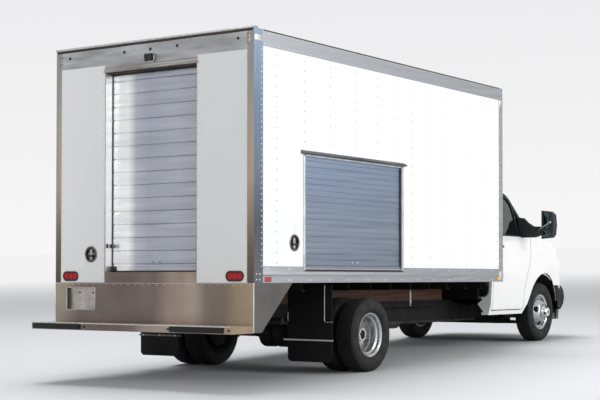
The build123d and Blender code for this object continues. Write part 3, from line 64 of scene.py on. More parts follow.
# ---- the truck's own axes ----------------------------------------------------------
# The truck stands nose-down. Its own axes start on the ground under the rear axle, level
# with its frame: x forward, y to the left, z up.
AXLE = np.array(JOINTS["spin_rear_left"]["pos_m"]) * (1, 0, 1)
UP = np.array(JOINTS["steer_left"]["axis"])
RAKE = float(np.arctan2(UP[0], UP[2]))
AXLE_Z = float(AXLE[2])
TURN = np.array([[np.cos(RAKE), 0, np.sin(RAKE)], [0, 1, 0], [-np.sin(RAKE), 0, np.cos(RAKE)]])


def place(points):
    """Points in the truck's own axes, turned nose-down about the rear axle."""
    return (np.asarray(points, float) - (0, 0, AXLE_Z)) @ TURN.T + AXLE


def own(point):
    """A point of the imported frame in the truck's own axes."""
    return (np.asarray(point, float) - AXLE) @ TURN + (0, 0, AXLE_Z)


# ---- driving sizes -----------------------------------------------------------------
# The cargo body's faces: its ends, the outside of its rails, both faces of its side walls,
# its floor, its roof, and the edges of the rails along its foot and top.
BOX_REAR = -2.010
BOX_FRONT = 2.920
BOX_Y = 1.219
SKIN_Y = 1.213
WALL_IN = 1.175
FLOOR_Z = 1.000
ROOF_Z = 3.185
RAIL_TOP = 1.050
TOP_RAIL_Z = 3.039
# The rear frame: its posts' width, the doorway's head, and the panels proud of it.
REAR_POST = 0.075
DOOR_TOP = 2.920
PANEL_TOP = 2.993
PANEL_X = BOX_REAR - 0.004
# The rear curtain, the side curtain, and the side doorway's low x, high x, low z, high z.
CURTAIN_X = -1.910
SIDE_CURTAIN_Y = -1.199
SIDE_DOOR = (-1.230, 0.605, 1.006, 2.110)
# The apron's plate recess (low y, high y, low z, high z) and the step's edge and tread.
PLATE = (0.694, 1.061, 0.640, 0.847)
STEP_REAR = -2.330
STEP_TOP = 0.518
# A tyre's radius, each wheel's distance from the middle, and half the step between duals.
TYRE_R = 0.372
FRONT_Y = 0.8785
REAR_Y = 0.9735
DUAL_HALF = 0.130
FRONT_AXLE = own(JOINTS["spin_front_left"]["pos_m"]) * (1, 0, 1)
REAR_AXLE = np.array([0, 0, AXLE_Z])
# The name of each side with the sign of its y, and the direction of what faces back.
SIDES = (("left", 1), ("right", -1))
REARWARD = (-1, 0, 0)


# ---- meshes ------------------------------------------------------------------------
# (radius, height) shares of a round rivet head and of a chamfered nut, foot to tip.
RIVET = ((0, 0), (1, 0), (0.8, 0.65), (0, 1))
NUT = ((0, 0), (1, 0), (1, 0.8), (0.82, 1), (0, 1))
# Odd directions that no rivet or bar points along; each of their circles starts square to
# the one or the other.
RIVET_ASIDE = (0.3, 0.5, 0.81)
BAR_ASIDE = (0.31, 0.17, 0.94)


def weave(rows, columns, close_rows=False, close_columns=False):
    """Corner numbers of the quads of a grid, with its ends joined where they close."""
    index = np.arange(rows * columns).reshape(rows, columns)
    if close_rows:
        index = np.vstack([index, index[:1]])
    if close_columns:
        index = np.hstack([index, index[:, :1]])
    quads = np.stack([index[:-1, :-1], index[1:, :-1], index[1:, 1:], index[:-1, 1:]], -1)
    return quads.reshape(-1, 4)


def rounded(thing, width, keep):
    """Edges sharper than keep degrees get a rounding of two steps."""
    edge = thing.modifiers.new("edges", "BEVEL")
    edge.width = width
    edge.segments = 2
    edge.limit_method = "ANGLE"
    edge.angle_limit = np.radians(keep)
    edge.harden_normals = True


def piece(name, parts, finish, body="truck_body", edge=0.0):
    """One object from (points, faces) parts: joined, merged, with its faces turned out."""
    points, faces, count = [], [], 0
    for corners, quads in parts:
        corners = np.asarray(corners, float).reshape(-1, 3)
        points.append(corners)
        faces.extend((np.asarray(quads) + count).tolist())
        count += len(corners)
    mesh = bpy.data.meshes.new(name)
    mesh.from_pydata(place(np.vstack(points)).tolist(), [], faces)
    form = bmesh.new()
    form.from_mesh(mesh)
    bmesh.ops.remove_doubles(form, verts=form.verts, dist=1e-6)
    bmesh.ops.recalc_face_normals(form, faces=form.faces)
    form.to_mesh(mesh)
    form.free()
    mesh.shade_smooth()
    mesh.set_sharp_from_angle(angle=np.radians(35.0))
    thing = bpy.data.objects.new(name, mesh)
    bpy.context.scene.collection.objects.link(thing)
    mesh.materials.append(finish)
    if edge:
        rounded(thing, edge, 40.0)
    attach(thing, body)
    return thing


def laid(axis, along, first, second):
    """Points with along on the named axis, and first and second on the other two in turn."""
    values = [first, second]
    values.insert("xyz".index(axis), along)
    return np.stack(np.broadcast_arrays(*values), -1)


def loft(rings):
    """Closed outlines joined in their order, with each end drawn in to its middle."""
    rings = np.asarray(rings, float)
    middles = rings[[0, -1]].mean(1, keepdims=True)
    ends = np.broadcast_to(middles, (2,) + rings.shape[1:])
    grid = np.concatenate([ends[:1], rings, ends[1:]])
    return grid, weave(len(grid), rings.shape[1], close_columns=True)


def stadium(half_long, half_high, around=48):
    """A straight-sided oval: a circle of half_high, its halves moved apart along first."""
    angle = np.linspace(0, 2 * np.pi, around, endpoint=False) + np.pi / around
    first = half_high * np.cos(angle) + (half_long - half_high) * np.sign(np.cos(angle))
    return np.stack([first, half_high * np.sin(angle)], 1)


def rounded_box(half_long, half_high, radius, around=40):
    """A rectangle with round corners: a circle of that radius, its quarters moved apart."""
    angle = np.linspace(0, 2 * np.pi, around, endpoint=False) + np.pi / around
    first = radius * np.cos(angle) + (half_long - radius) * np.sign(np.cos(angle))
    second = radius * np.sin(angle) + (half_high - radius) * np.sign(np.sin(angle))
    return np.stack([first, second], 1)


def facing(outline, centre, axis, out, levels):
    """An outline set square to an axis and repeated at (height, scale) levels outward."""
    return loft([laid(axis, out * height, *(outline * scale).T) + centre for height, scale in levels])


def bar(outline, axis, start, end):
    """A closed outline carried straight along an axis from start to end."""
    return loft([laid(axis, reach, *np.asarray(outline, float).T) for reach in (start, end)])


def strip(half, radius, middle, axis, start, end, around=12):
    """A straight bar with round corners, from its half sizes and its middle across."""
    return bar(rounded_box(*half, radius, around) + middle, axis, start, end)


def heads(places, out, side, levels, radius, height, around):
    """The same head at each place: at each (radius, height) level a circle about the out
    direction, its points turned from side."""
    places = np.asarray(places, float).reshape(-1, 3)
    angle = np.linspace(0, 2 * np.pi, around, endpoint=False)[:, None]
    ring = side * np.cos(angle) + np.cross(out, side) * np.sin(angle)
    form = np.concatenate([ring * radius * wide + out * height * high for wide, high in levels])
    faces = weave(len(levels), around, close_columns=True)
    numbers = faces + (np.arange(len(places)) * len(form))[:, None, None]
    return (places[:, None] + form).reshape(-1, 3), numbers.reshape(-1, 4)


def hex_nuts(places, out, radius, height):
    """Chamfered nuts: heads of six corners."""
    out = np.asarray(out, float)
    side = np.array((1.0, 0, 0) if abs(out[0]) < 0.5 else (0, 1.0, 0))
    return heads(places, out, side, NUT, radius, height, 6)


def studs(places, out, radius, height, around=8):
    """Round rivet heads: low domes of two rings."""
    out = np.asarray(out, float)
    side = np.cross(out, RIVET_ASIDE)
    return heads(places, out, side / np.linalg.norm(side), RIVET, radius, height, around)


def turned_form(profile, centre, around, axis, outward):
    """A profile of (distance along the axis, radius) swept once round that axis."""
    along, radius = np.asarray(profile, float).T
    angle = np.linspace(0, 2 * np.pi, around, endpoint=False)[:, None]
    grid = laid(axis, outward * along, radius * np.sin(angle), radius * np.cos(angle)) + centre
    return grid, weave(around, len(along), close_rows=True)


def soft_box(centre, half, power, rows=12, columns=24):
    """A rounded block: a sphere's two angles with each cosine and sine raised to power."""
    down = np.linspace(-np.pi / 2, np.pi / 2, rows)[:, None]
    turn = np.linspace(0, 2 * np.pi, columns, endpoint=False)[None, :]
    reach, rise, first, second = (np.sign(wave) * np.abs(wave) ** power for wave in (
        np.cos(down), np.sin(down), np.cos(turn), np.sin(turn)))
    grid = np.stack([reach * first, reach * second, rise * np.ones_like(turn)], -1)
    return grid * half + centre, weave(rows, columns, close_columns=True)


def pipe(route, radius, around=12):
    """A round bar along a route: at each point a circle square to the path's direction.
    A point that repeats the one before it is dropped."""
    route = np.asarray(route, float)
    moved = np.linalg.norm(np.diff(route, axis=0), axis=1) > 1e-6
    route = route[np.concatenate([[True], moved])]
    ahead = np.gradient(route, axis=0)
    ahead /= np.linalg.norm(ahead, axis=1)[:, None]
    side = np.cross(ahead, BAR_ASIDE)
    side /= np.linalg.norm(side, axis=1)[:, None]
    over = np.cross(side, ahead)
    angle = np.linspace(0, 2 * np.pi, around, endpoint=False)[:, None]
    return loft(route[:, None] + radius * (side[:, None] * np.cos(angle) + over[:, None] * np.sin(angle)))


def bend(corners, radius, steps=6):
    """A route through corners, each one eased by a quadratic curve that starts and ends at
    that distance from it."""
    corners = np.asarray(corners, float)
    points = [corners[:1]]
    share = np.linspace(0, 1, steps)[:, None]
    for before, corner, after in zip(corners[:-2], corners[1:-1], corners[2:]):
        start = corner + (before - corner) * min(1, radius / np.linalg.norm(before - corner))
        end = corner + (after - corner) * min(1, radius / np.linalg.norm(after - corner))
        points.append((1 - share) ** 2 * start + 2 * share * (1 - share) * corner + share ** 2 * end)
    points.append(corners[-1:])
    return np.vstack(points)


def lattice(first, second, third):
    """Every combination of the given x, y and z values, as points."""
    grid = np.meshgrid(np.atleast_1d(first), np.atleast_1d(second), np.atleast_1d(third), indexing="ij")
    return np.stack(grid, -1).reshape(-1, 3)


def from_node(name, node, finish, body="truck_body", width=0.003, regions=(), cuts=()):
    """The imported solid's mesh merged, its flat faces joined and its edges rounded. Each
    region is a finish with a test of the faces' centres and normals in the truck's axes;
    cuts are (point, direction) planes that part the faces where a finish changes."""
    sharp = 30.0
    mesh = NODES[node].data.copy()
    form = bmesh.new()
    form.from_mesh(mesh)
    bmesh.ops.remove_doubles(form, verts=form.verts, dist=2e-5)
    bmesh.ops.dissolve_limit(form, angle_limit=np.radians(1.0), verts=form.verts, edges=form.edges)
    for point, direction in cuts:
        parts = [*form.verts, *form.edges, *form.faces]
        bmesh.ops.bisect_plane(form, geom=parts, dist=1e-5, plane_co=place(point), plane_no=TURN @ direction)
    form.to_mesh(mesh)
    form.free()
    mesh.shade_smooth()
    mesh.set_sharp_from_angle(angle=np.radians(sharp))
    mesh.materials.clear()
    mesh.materials.append(finish)
    count = len(mesh.polygons)
    centres, normals = np.empty(count * 3), np.empty(count * 3)
    mesh.polygons.foreach_get("center", centres)
    mesh.polygons.foreach_get("normal", normals)
    centres, normals = own(centres.reshape(-1, 3)), normals.reshape(-1, 3) @ TURN
    chosen = np.zeros(count, int)
    for number, (other, test) in enumerate(regions, 1):
        mesh.materials.append(other)
        chosen[test(centres, normals)] = number
    mesh.polygons.foreach_set("material_index", chosen)
    thing = bpy.data.objects.new(name, mesh)
    bpy.context.scene.collection.objects.link(thing)
    if width:
        rounded(thing, width, sharp)
    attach(thing, body)
    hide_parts(node)
    return thing


# ---- materials ---------------------------------------------------------------------
def linear(code):
    """A hex sRGB colour as linear red, green, blue and full alpha."""
    value = np.array([int(code[k:k + 2], 16) for k in (1, 3, 5)]) / 255
    flat = np.where(value <= 0.04045, value / 12.92, ((value + 0.055) / 1.055) ** 2.4)
    return (*flat.tolist(), 1.0)


def add(tree, kind, sockets=(), **settings):
    """A node of that kind. settings are its attributes; sockets pairs each input with a
    value or with the output that feeds it."""
    made = tree.nodes.new(kind)
    for key, value in settings.items():
        setattr(made, key, value)
    for key, value in dict(sockets).items():
        if isinstance(value, bpy.types.NodeSocket):
            tree.links.new(value, made.inputs[key])
        else:
            made.inputs[key].default_value = value
    return made


def banded(tree, spot, bands):
    """A colour that changes along one axis. bands is the axis and (metres, hex) stops."""
    axis, stops = bands
    low, high = stops[0][0], stops[-1][0]
    value = add(tree, "ShaderNodeSeparateXYZ", {"Vector": spot}).outputs[axis]
    share = add(tree, "ShaderNodeMapRange", {"Value": value, "From Min": low,
                                             "From Max": high}).outputs["Result"]
    ramp = add(tree, "ShaderNodeValToRGB", {"Fac": share})
    for number, (metres, code) in enumerate(stops):
        known = ramp.color_ramp.elements
        stop = known[number] if number < 2 else known.new(1.0)
        stop.position = (metres - low) / (high - low)
        stop.color = linear(code)
    return ramp.outputs["Color"]


def noise(tree, spot, cycles, detail):
    """A noise of that many cycles per metre, one number for all axes or one for each."""
    scale = (cycles,) * 3 if np.isscalar(cycles) else cycles
    stretch = add(tree, "ShaderNodeMapping", {"Vector": spot, "Scale": scale}).outputs["Vector"]
    return add(tree, "ShaderNodeTexNoise", {"Vector": stretch, "Scale": 1.0, "Detail": detail}).outputs["Fac"]


def surface(name, colours, rough, metallic=0.0, grain=4.0, blend=0.5, bump=None,
            fine=None, coat=0.0, coat_rough=0.05, bands=None, **constant):
    """A Principled material. Its colour drifts between two hex colours and its roughness
    between two values, both by one noise stretched by grain (cycles per metre). bump is
    (cycles per metre, depth in metres) of a second noise, and fine a third one. Where
    bands gives colours along an axis, they are multiplied by the drifting one."""
    made = bpy.data.materials.new(name)
    made.use_nodes = True
    tree = made.node_tree
    tree.nodes.clear()
    spot = add(tree, "ShaderNodeTexCoord").outputs["Object"]
    drift = noise(tree, spot, grain, 5.0)
    spread = add(tree, "ShaderNodeMapRange", {"Value": drift, "From Min": 0.5 - blend / 2,
                                              "From Max": 0.5 + blend / 2}).outputs["Result"]
    colour = add(tree, "ShaderNodeMix", {0: spread, 6: linear(colours[0]), 7: linear(colours[1])},
                 data_type="RGBA").outputs[2]
    if bands:
        colour = add(tree, "ShaderNodeMix", {0: 1.0, 6: banded(tree, spot, bands), 7: colour},
                     data_type="RGBA", blend_type="MULTIPLY").outputs[2]
    rough_out = add(tree, "ShaderNodeMapRange", {"Value": drift, "From Min": 0.3, "From Max": 0.7,
                                                 "To Min": rough[0], "To Max": rough[1]}).outputs["Result"]
    sockets = {"Base Color": colour, "Roughness": rough_out, "Metallic": metallic}
    normal = None
    for cycles, depth in [step for step in (bump, fine) if step]:
        height = noise(tree, spot, cycles, 2.0)
        feed = {"Height": height, "Distance": depth, "Strength": 1.0}
        if normal:
            feed["Normal"] = normal
        normal = add(tree, "ShaderNodeBump", feed).outputs["Normal"]
    if normal:
        sockets["Normal"] = normal
    if coat:
        sockets["Coat Weight"] = coat
        sockets["Coat Roughness"] = coat_rough
    sockets.update(constant)
    shader = add(tree, "ShaderNodeBsdfPrincipled", sockets)
    add(tree, "ShaderNodeOutputMaterial", {"Surface": shader.outputs["BSDF"]})
    return made


# Scales below are cycles per metre, so 1000 over one is its spacing in millimetres. Grain of
# a tenth of a millimetre can't show at this size and is drawn as coarse as it needs to.
#
# Sheets and panels -----------------------------------------------------------------
# Pre-painted aluminium sheet: even gloss white with a ripple nearly a metre long, and a
# slow drift of tone over each sheet.
white_sheet = surface("white_painted_sheet", ("#f6f7f8", "#f0f1f2"), (0.32, 0.42), grain=0.9,
                      bump=(1.3, 0.003), coat=0.3, coat_rough=0.2)
# Laminated white panels beside the rear door: flatter, with painted shade that leaves them a little greyer
# towards the right, away from the light.
white_panel = surface("white_laminate_panel", ("#eeefee", "#e5e7e6"), (0.42, 0.52), grain=(0.7, 0.7, 0.5),
                      bump=(1.1, 0.003), bands=("Y", ((-1.2, "#eff0ef"), (0.4, "#f6f6f6"), (1.2, "#ffffff"))))
# Sprayed and baked enamel under clear lacquer: a sharp reflection over even white.
white_enamel = surface("white_cab_enamel", ("#f4f4f2", "#efefec"), (0.3, 0.36), grain=1.5,
                       coat=1.0, coat_rough=0.04)

# Aluminium -------------------------------------------------------------------------
# Mill-finish extrusions: streaked along their length by the die.
extrusion = surface("mill_aluminium_extrusion", ("#b3b6b9", "#96999d"), (0.3, 0.48), metallic=1.0,
                    grain=(1.2, 9.0, 26.0), blend=0.6, bump=((3.0, 40.0, 60.0), 0.0006))
# The top rail, the same extrusion, bluer: a painted reflection of the sky that shows more in it.
rail_metal = surface("mill_aluminium_top_rail", ("#a3aebd", "#8592a3"), (0.28, 0.42), metallic=1.0,
                     grain=(1.6, 9.0, 22.0), blend=0.6, bump=((3.0, 40.0, 60.0), 0.0006))
# The rear posts: streaked upwards, with a painted reflection that makes them warmer and darker towards the
# ground they mirror.
post_metal = surface("mill_aluminium_post", ("#ffffff", "#dcdcdc"), (0.26, 0.4), metallic=1.0,
                     grain=(30.0, 30.0, 1.3), blend=0.7, bump=((50.0, 50.0, 2.5), 0.0006),
                     bands=("Z", ((0.9, "#5e554e"), (1.3, "#7b6f65"), (1.9, "#b9a898"), (2.5, "#b3aba2"),
                                  (3.25, "#9c9ea0"))))
# The posts' outer faces: streaked the same way, with a painted reflection that makes them darker low down and
# bluer upwards, as more sky shows in them.
corner_metal = surface("mill_aluminium_corner", ("#ffffff", "#d6dade"), (0.22, 0.36), metallic=1.0,
                       grain=(40.0, 40.0, 1.6), blend=0.8, bump=((50.0, 50.0, 2.5), 0.0006),
                       bands=("Z", ((0.9, "#77797d"), (1.5, "#5f646c"), (2.0, "#7c8796"), (2.6, "#7f93ab"),
                                    (3.25, "#a3b4c8"))))
# White-coated aluminium on the doorway's cheeks: nearly white, with a faint metal sheen.
jamb_metal = surface("white_coated_jamb", ("#fdfdfc", "#f0f1f1"), (0.26, 0.36), metallic=0.8,
                     grain=(30.0, 30.0, 3.0), blend=0.6, bump=((50.0, 50.0, 2.5), 0.0006))
# Mill sheet over the doorway: level streaks half a metre long, light to mid grey.
header_metal = surface("mill_aluminium_header", ("#c8c9cb", "#868688"), (0.26, 0.5), metallic=1.0,
                       grain=(20.0, 1.9, 11.0), blend=0.6, bump=((20.0, 1.6, 6.0), 0.0014))
# The header's folded lip, rubbed by the curtain: patchy grey brown with bright edges.
lip_metal = surface("worn_aluminium_lip", ("#b9b4ae", "#6d655e"), (0.25, 0.5), metallic=1.0,
                    grain=(20.0, 5.0, 60.0), blend=0.5, bump=((20.0, 6.0, 40.0), 0.001))
# Roll-formed slats: satin and streaked level. A painted highlight makes them white at the left; elsewhere
# they are greyer in broad bands across.
slat_metal = surface("aluminium_slat_painted_highlight", ("#ffffff", "#e2e2e4"), (0.2, 0.38), metallic=0.9,
                     grain=(12.0, 1.4, 16.0), blend=0.7, bump=((8.0, 1.6, 7.0), 0.0009),
                     bands=("Y", ((-0.56, "#a9acb2"), (-0.25, "#b6bac2"), (0.1, "#b0b4c0"), (0.26, "#bfc2ca"),
                                  (0.36, "#ffffff"), (0.56, "#ffffff"))))
# The side curtain's slats: satin, slightly blue, rubbed along their length. A painted reflection makes them a
# little warmer low down and bluer higher up.
curtain_metal = surface("satin_aluminium_curtain", ("#a0acbc", "#74808f"), (0.3, 0.46), metallic=1.0,
                        grain=(0.9, 8.0, 24.0), blend=0.7, bump=((1.5, 8.0, 4.0), 0.0012),
                        bands=("Z", ((1.0, "#e9e4e2"), (1.4, "#f0eeee"), (2.1, "#f2f6ff"))))
# Polished sheet: a soft mirror with broad slow waves. Its warm tone and the broad light and dark patches
# across it are a painted reflection of the ground it faces.
apron_metal = surface("polished_aluminium_sheet", ("#ffffff", "#cdc4be"), (0.14, 0.32), metallic=1.0,
                      grain=(2.0, 1.5, 1.2), blend=0.42, bump=((1.5, 1.6, 1.2), 0.006),
                      fine=((30.0, 2.0, 30.0), 0.0004),
                      bands=("Y", ((-1.22, "#b3a28b"), (-1.02, "#a89980"), (-0.90, "#887c75"),
                                   (-0.68, "#8d827b"), (-0.52, "#b5a79b"), (-0.24, "#b0a399"),
                                   (-0.06, "#857a75"), (0.90, "#7d736f"), (1.14, "#a39789"),
                                   (1.22, "#aa9f92"))))
# The pressed plate recess: the same sheet, duller where it was drawn.
recess_metal = surface("bright_recess_sheet", ("#c3beb9", "#98928d"), (0.25, 0.4), metallic=1.0,
                       grain=(12.0, 12.0, 9.0), blend=0.6, bump=(20.0, 0.0008))
# The apron's turned-in ends: unpolished sheet, dark grey.
skirt_metal = surface("dull_aluminium_sheet", ("#6c6967", "#545250"), (0.35, 0.5), metallic=1.0,
                      grain=2.0, blend=0.5, bump=(2.0, 0.002))
# Drawn frame members of the side doorway: pale satin, mottled by handling.
bright_frame = surface("satin_aluminium_frame", ("#d3d6d9", "#9a9da1"), (0.26, 0.42), metallic=1.0,
                       grain=(14.0, 14.0, 4.0), blend=0.5, bump=(30.0, 0.0005))
# Bare aluminium rivets: small pale domes with a soft highlight.
rivet_metal = surface("aluminium_rivet", ("#eef0f2", "#d2d5d8"), (0.3, 0.42), metallic=1.0, grain=30.0)
# Rivets under the white coating: coloured grey, painted shade for the line of shade their rims catch.
white_rivet = surface("white_rivet_painted_shade", ("#a2a5a8", "#8b8e91"), (0.4, 0.5), grain=30.0)
# The same on the side sheets, which face the light: a darker grey, painted shade that shows against the
# bright sheet.
shaded_rivet = surface("sheet_rivet_painted_shade", ("#6f7276", "#55585c"), (0.4, 0.5), grain=30.0)
# The rolled drip rail: weathered grey, a little lighter where water runs off.
drip_metal = surface("weathered_drip_rail", ("#66686b", "#3c3e41"), (0.4, 0.6), metallic=0.7,
                     grain=(3.0, 20.0, 20.0))

# Steel and iron --------------------------------------------------------------------
# Zinc-plated bar and castings: bright, barely mottled.
bright_bar = surface("zinc_plated_bar", ("#d9d9d7", "#b2b2af"), (0.25, 0.4), metallic=1.0, grain=20.0)
# Pressed and plated latch dishes: warm mid grey with a fine orange-peel.
dish_steel = surface("pressed_steel_dish", ("#86847f", "#55534f"), (0.22, 0.36), metallic=1.0, grain=40.0,
                     bump=(60.0, 0.0005))
# Brushed-on chassis paint: flat black with a faint texture of brush and dust.
steel_paint = surface("black_chassis_paint", ("#0c0c0d", "#060606"), (0.55, 0.75), grain=5.0,
                      bump=(60.0, 0.0006), **{"Specular IOR Level": 0.25})
# Sand-cast iron, oiled: black and rough, with a grit of 7 mm, coarser than the real one.
iron = surface("black_cast_iron", ("#141312", "#0a0909"), (0.6, 0.8), grain=12.0,
               bump=(150.0, 0.0008), **{"Specular IOR Level": 0.35})
# Bare steel stained by heat and road dirt: brown grey patches a hand wide. On the left flap rods it stands
# for painted shade.
pipe_steel = surface("heat_stained_steel", ("#6d6660", "#453f3a"), (0.4, 0.65), metallic=0.9, grain=6.0,
                     bump=(90.0, 0.0005))
# Silver enamel on pressed wheels: metallic flake under a thin lacquer.
wheel_paint = surface("silver_wheel_paint", ("#c9cbcc", "#a3a4a6"), (0.2, 0.32), metallic=0.9,
                      grain=6.0, coat=0.3)
# The wheels' inner dishes: the same enamel, duller and a little greyer.
wheel_dish = surface("brushed_wheel_dish", ("#cdcdcc", "#9b9b9a"), (0.25, 0.4), metallic=0.9, grain=6.0)
# Chromed caps and nuts: a near mirror.
chrome = surface("chromed_cap", ("#e4e6e8", "#cfd2d5"), (0.06, 0.12), metallic=1.0, grain=6.0)

# Wood and sealant ------------------------------------------------------------------
# Sawn oak, stained dark: grain runs along the sills, 8 mm from line to line.
timber = surface("oak_sill", ("#5c331f", "#301a10"), (0.6, 0.8), grain=(2.0, 40.0, 40.0), blend=0.5,
                 bump=((4.0, 120.0, 120.0), 0.0008))
# Gunned butyl sealant: dark brown, dull, slightly lumpy. Under the doorway's head it is a painted shadow
# instead.
butyl = surface("dark_butyl_sealant", ("#3a2a20", "#1f1712"), (0.5, 0.7), grain=(6.0, 3.0, 6.0),
                bump=(80.0, 0.0006))

# Rubber and plastic ----------------------------------------------------------------
# Calendered rubber sheet: flat black with soft waves 50 mm long.
flap_rubber = surface("black_sheet_rubber", ("#070707", "#040404"), (0.6, 0.75), grain=5.0,
                      bump=(20.0, 0.0008), **{"Specular IOR Level": 0.2})
# Extruded rubber: smoother, with a soft sheen.
pad_rubber = surface("black_bumper_rubber", ("#0e1011", "#070808"), (0.3, 0.45), grain=9.0,
                     bump=(120.0, 0.0005), **{"Specular IOR Level": 0.3})
# Moulded tyre rubber: brownish black with a dry, fine texture.
tyre_rubber = surface("tyre_rubber", ("#191715", "#0f0e0d"), (0.6, 0.8), grain=14.0,
                      bump=(260.0, 0.0004), **{"Specular IOR Level": 0.35})
# Injection-moulded plastic: near black, with a spark-eroded texture of 2 to 3 mm.
black_plastic = surface("moulded_black_plastic", ("#17181a", "#0f1012"), (0.45, 0.6), grain=8.0,
                        bump=(420.0, 0.0003))
# The bumper's larger mouldings: duller and blacker.
bumper_plastic = surface("moulded_bumper_plastic", ("#0a0b0c", "#060607"), (0.5, 0.62), grain=5.0,
                         bump=(300.0, 0.0004), **{"Specular IOR Level": 0.25})
# Unpainted grey plastic of the dashboard and air dam.
grey_plastic = surface("moulded_grey_plastic", ("#4a4b4e", "#3a3b3e"), (0.5, 0.65), grain=8.0,
                       bump=(420.0, 0.0003))
# Woven cloth: charcoal with a thread of 2 mm and a faint fuzz against the light.
seat_cloth = surface("woven_seat_cloth", ("#3a3c40", "#26282b"), (0.85, 0.95), grain=30.0,
                     bump=(500.0, 0.0006), **{"Sheen Weight": 0.4})
# Grained vinyl of the seat boxes: black with a leather grain of 3 mm.
seat_vinyl = surface("grained_seat_vinyl", ("#202124", "#17181a"), (0.5, 0.65), grain=12.0,
                     bump=(300.0, 0.0005))

# Lenses and glass ------------------------------------------------------------------
# Moulded acrylic: deep red, its inner ribs 6 mm apart across the lens.
red_lens = surface("red_acrylic_lens", ("#e0101c", "#8a0812"), (0.3, 0.4), grain=36.0,
                   bump=((10.0, 160.0, 160.0), 0.0012), **{"Specular IOR Level": 0.3})
# Unlit lamp lenses, dark and glossy.
smoked_lens = surface("smoked_lamp_lens", ("#1a1012", "#0e0a0b"), (0.12, 0.2), grain=60.0, coat=1.0)
# Reflector lenses: a duller red with prisms of 6 mm.
red_glow = surface("red_reflector_lens", ("#c0141a", "#8c0c12"), (0.3, 0.4), grain=60.0,
                   bump=(160.0, 0.001))
# Moulded amber acrylic: an even orange yellow, softly glossy.
amber_lens = surface("amber_acrylic_lens", ("#f2bc1c", "#e09c10"), (0.25, 0.35), grain=60.0)
# Clear moulded head lamp lenses, fluted 11 mm apart, over a pale reflector.
clear_lens = surface("clear_lamp_lens", ("#e9edf0", "#c8ced2"), (0.06, 0.12), grain=30.0, coat=1.0,
                     bump=((10.0, 90.0, 20.0), 0.001))
# Float glass, tinted: nearly black from outside, with a crisp reflection.
window_glass = surface("tinted_window_glass", ("#11181a", "#0b1012"), (0.02, 0.04), grain=2.0,
                       coat=0.6, coat_rough=0.0, **{"Transmission Weight": 0.75, "IOR": 1.4})
# Silvered glass: a clean mirror, slightly green.
mirror_glass = surface("silvered_mirror", ("#56696e", "#46585d"), (0.02, 0.03), metallic=1.0, grain=2.0)

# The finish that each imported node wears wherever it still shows.
FINISHES = {
    "chassis_frame": steel_paint, "wood_sills": timber, "box_floor": steel_paint, "box_rails": extrusion,
    "side_wall_left": white_sheet, "side_wall_right": white_sheet, "front_wall": white_sheet,
    "roof": white_sheet, "rear_frame": post_metal, "rear_panels": white_panel, "rear_roller_door": slat_metal,
    "side_door_frame": extrusion, "side_roller_door": curtain_metal, "latch_dishes": dish_steel,
    "marker_lamps": red_lens, "tail_lamps": red_lens, "rear_apron": apron_metal, "step_bumper": apron_metal,
    "bumper_pads": pad_rubber, "mud_flaps": flap_rubber, "flap_hangers": bright_bar, "rear_axle": iron,
    "leaf_springs": iron, "engine": iron, "fuel_tank": steel_paint, "exhaust": pipe_steel,
    "front_suspension": iron, "cab_shell": white_enamel, "windscreen": window_glass, "hood": white_enamel,
    "fenders": white_enamel, "grille": black_plastic, "headlamps": clear_lens, "front_bumper": bumper_plastic,
    "seats": seat_cloth, "dashboard": grey_plastic, "steering_wheel": black_plastic,
}
for side, _ in SIDES:
    FINISHES.update({
        "door_" + side: white_enamel, "door_glass_" + side: window_glass, "mirror_" + side: black_plastic,
        "knuckle_" + side: iron, "tyre_front_" + side: tyre_rubber, "rim_front_" + side: wheel_paint,
        "tyres_rear_" + side: tyre_rubber, "rims_rear_" + side: wheel_paint})
for node, finish in FINISHES.items():
    mesh = NODES[node].data
    if not mesh.materials:
        mesh.materials.append(finish)
    for number in range(len(mesh.materials)):
        mesh.materials[number] = finish


# ---- box body ----------------------------------------------------------------------
# Where the rivet columns stand along both side sheets.
SIDE_COLUMNS = (-1.653, -1.205, -0.766, -0.310, 0.105, 0.507, 0.784, 1.178, 1.583, 2.006, 2.394, 2.790)
# The header's lamps: their height and the y of each. The tail lamps' middles.
LAMP_Z = 3.101
LAMP_Y = (-1.038, -0.327, 0.327, 1.038, 0)
TAIL_Y, TAIL_Z = 1.009, 0.961
# The middles of the rear and the side latch, of the camera's bracket, and of the side and
# front marker lamps as (x, z).
REAR_LATCH = (PANEL_X, 0.742, 1.172)
SIDE_LATCH = (-1.374, -SKIN_Y, 1.270)
BACK_CAMERA = (BOX_REAR, -0.004, 3.018)
SIDE_MARKER = (-1.797, 0.932)
FRONT_MARKER = (2.790, 0.938)
# How high the round bolts of both curtains' bottom bars stand.
BAR_BOLT_Z = 1.095
# (radius, height) of sheet, rail and edge rivets.
SHEET_RIVET = (0.0065, 0.0024)
RAIL_RIVET = (0.0068, 0.003)
EDGE_RIVET = (0.0045, 0.002)


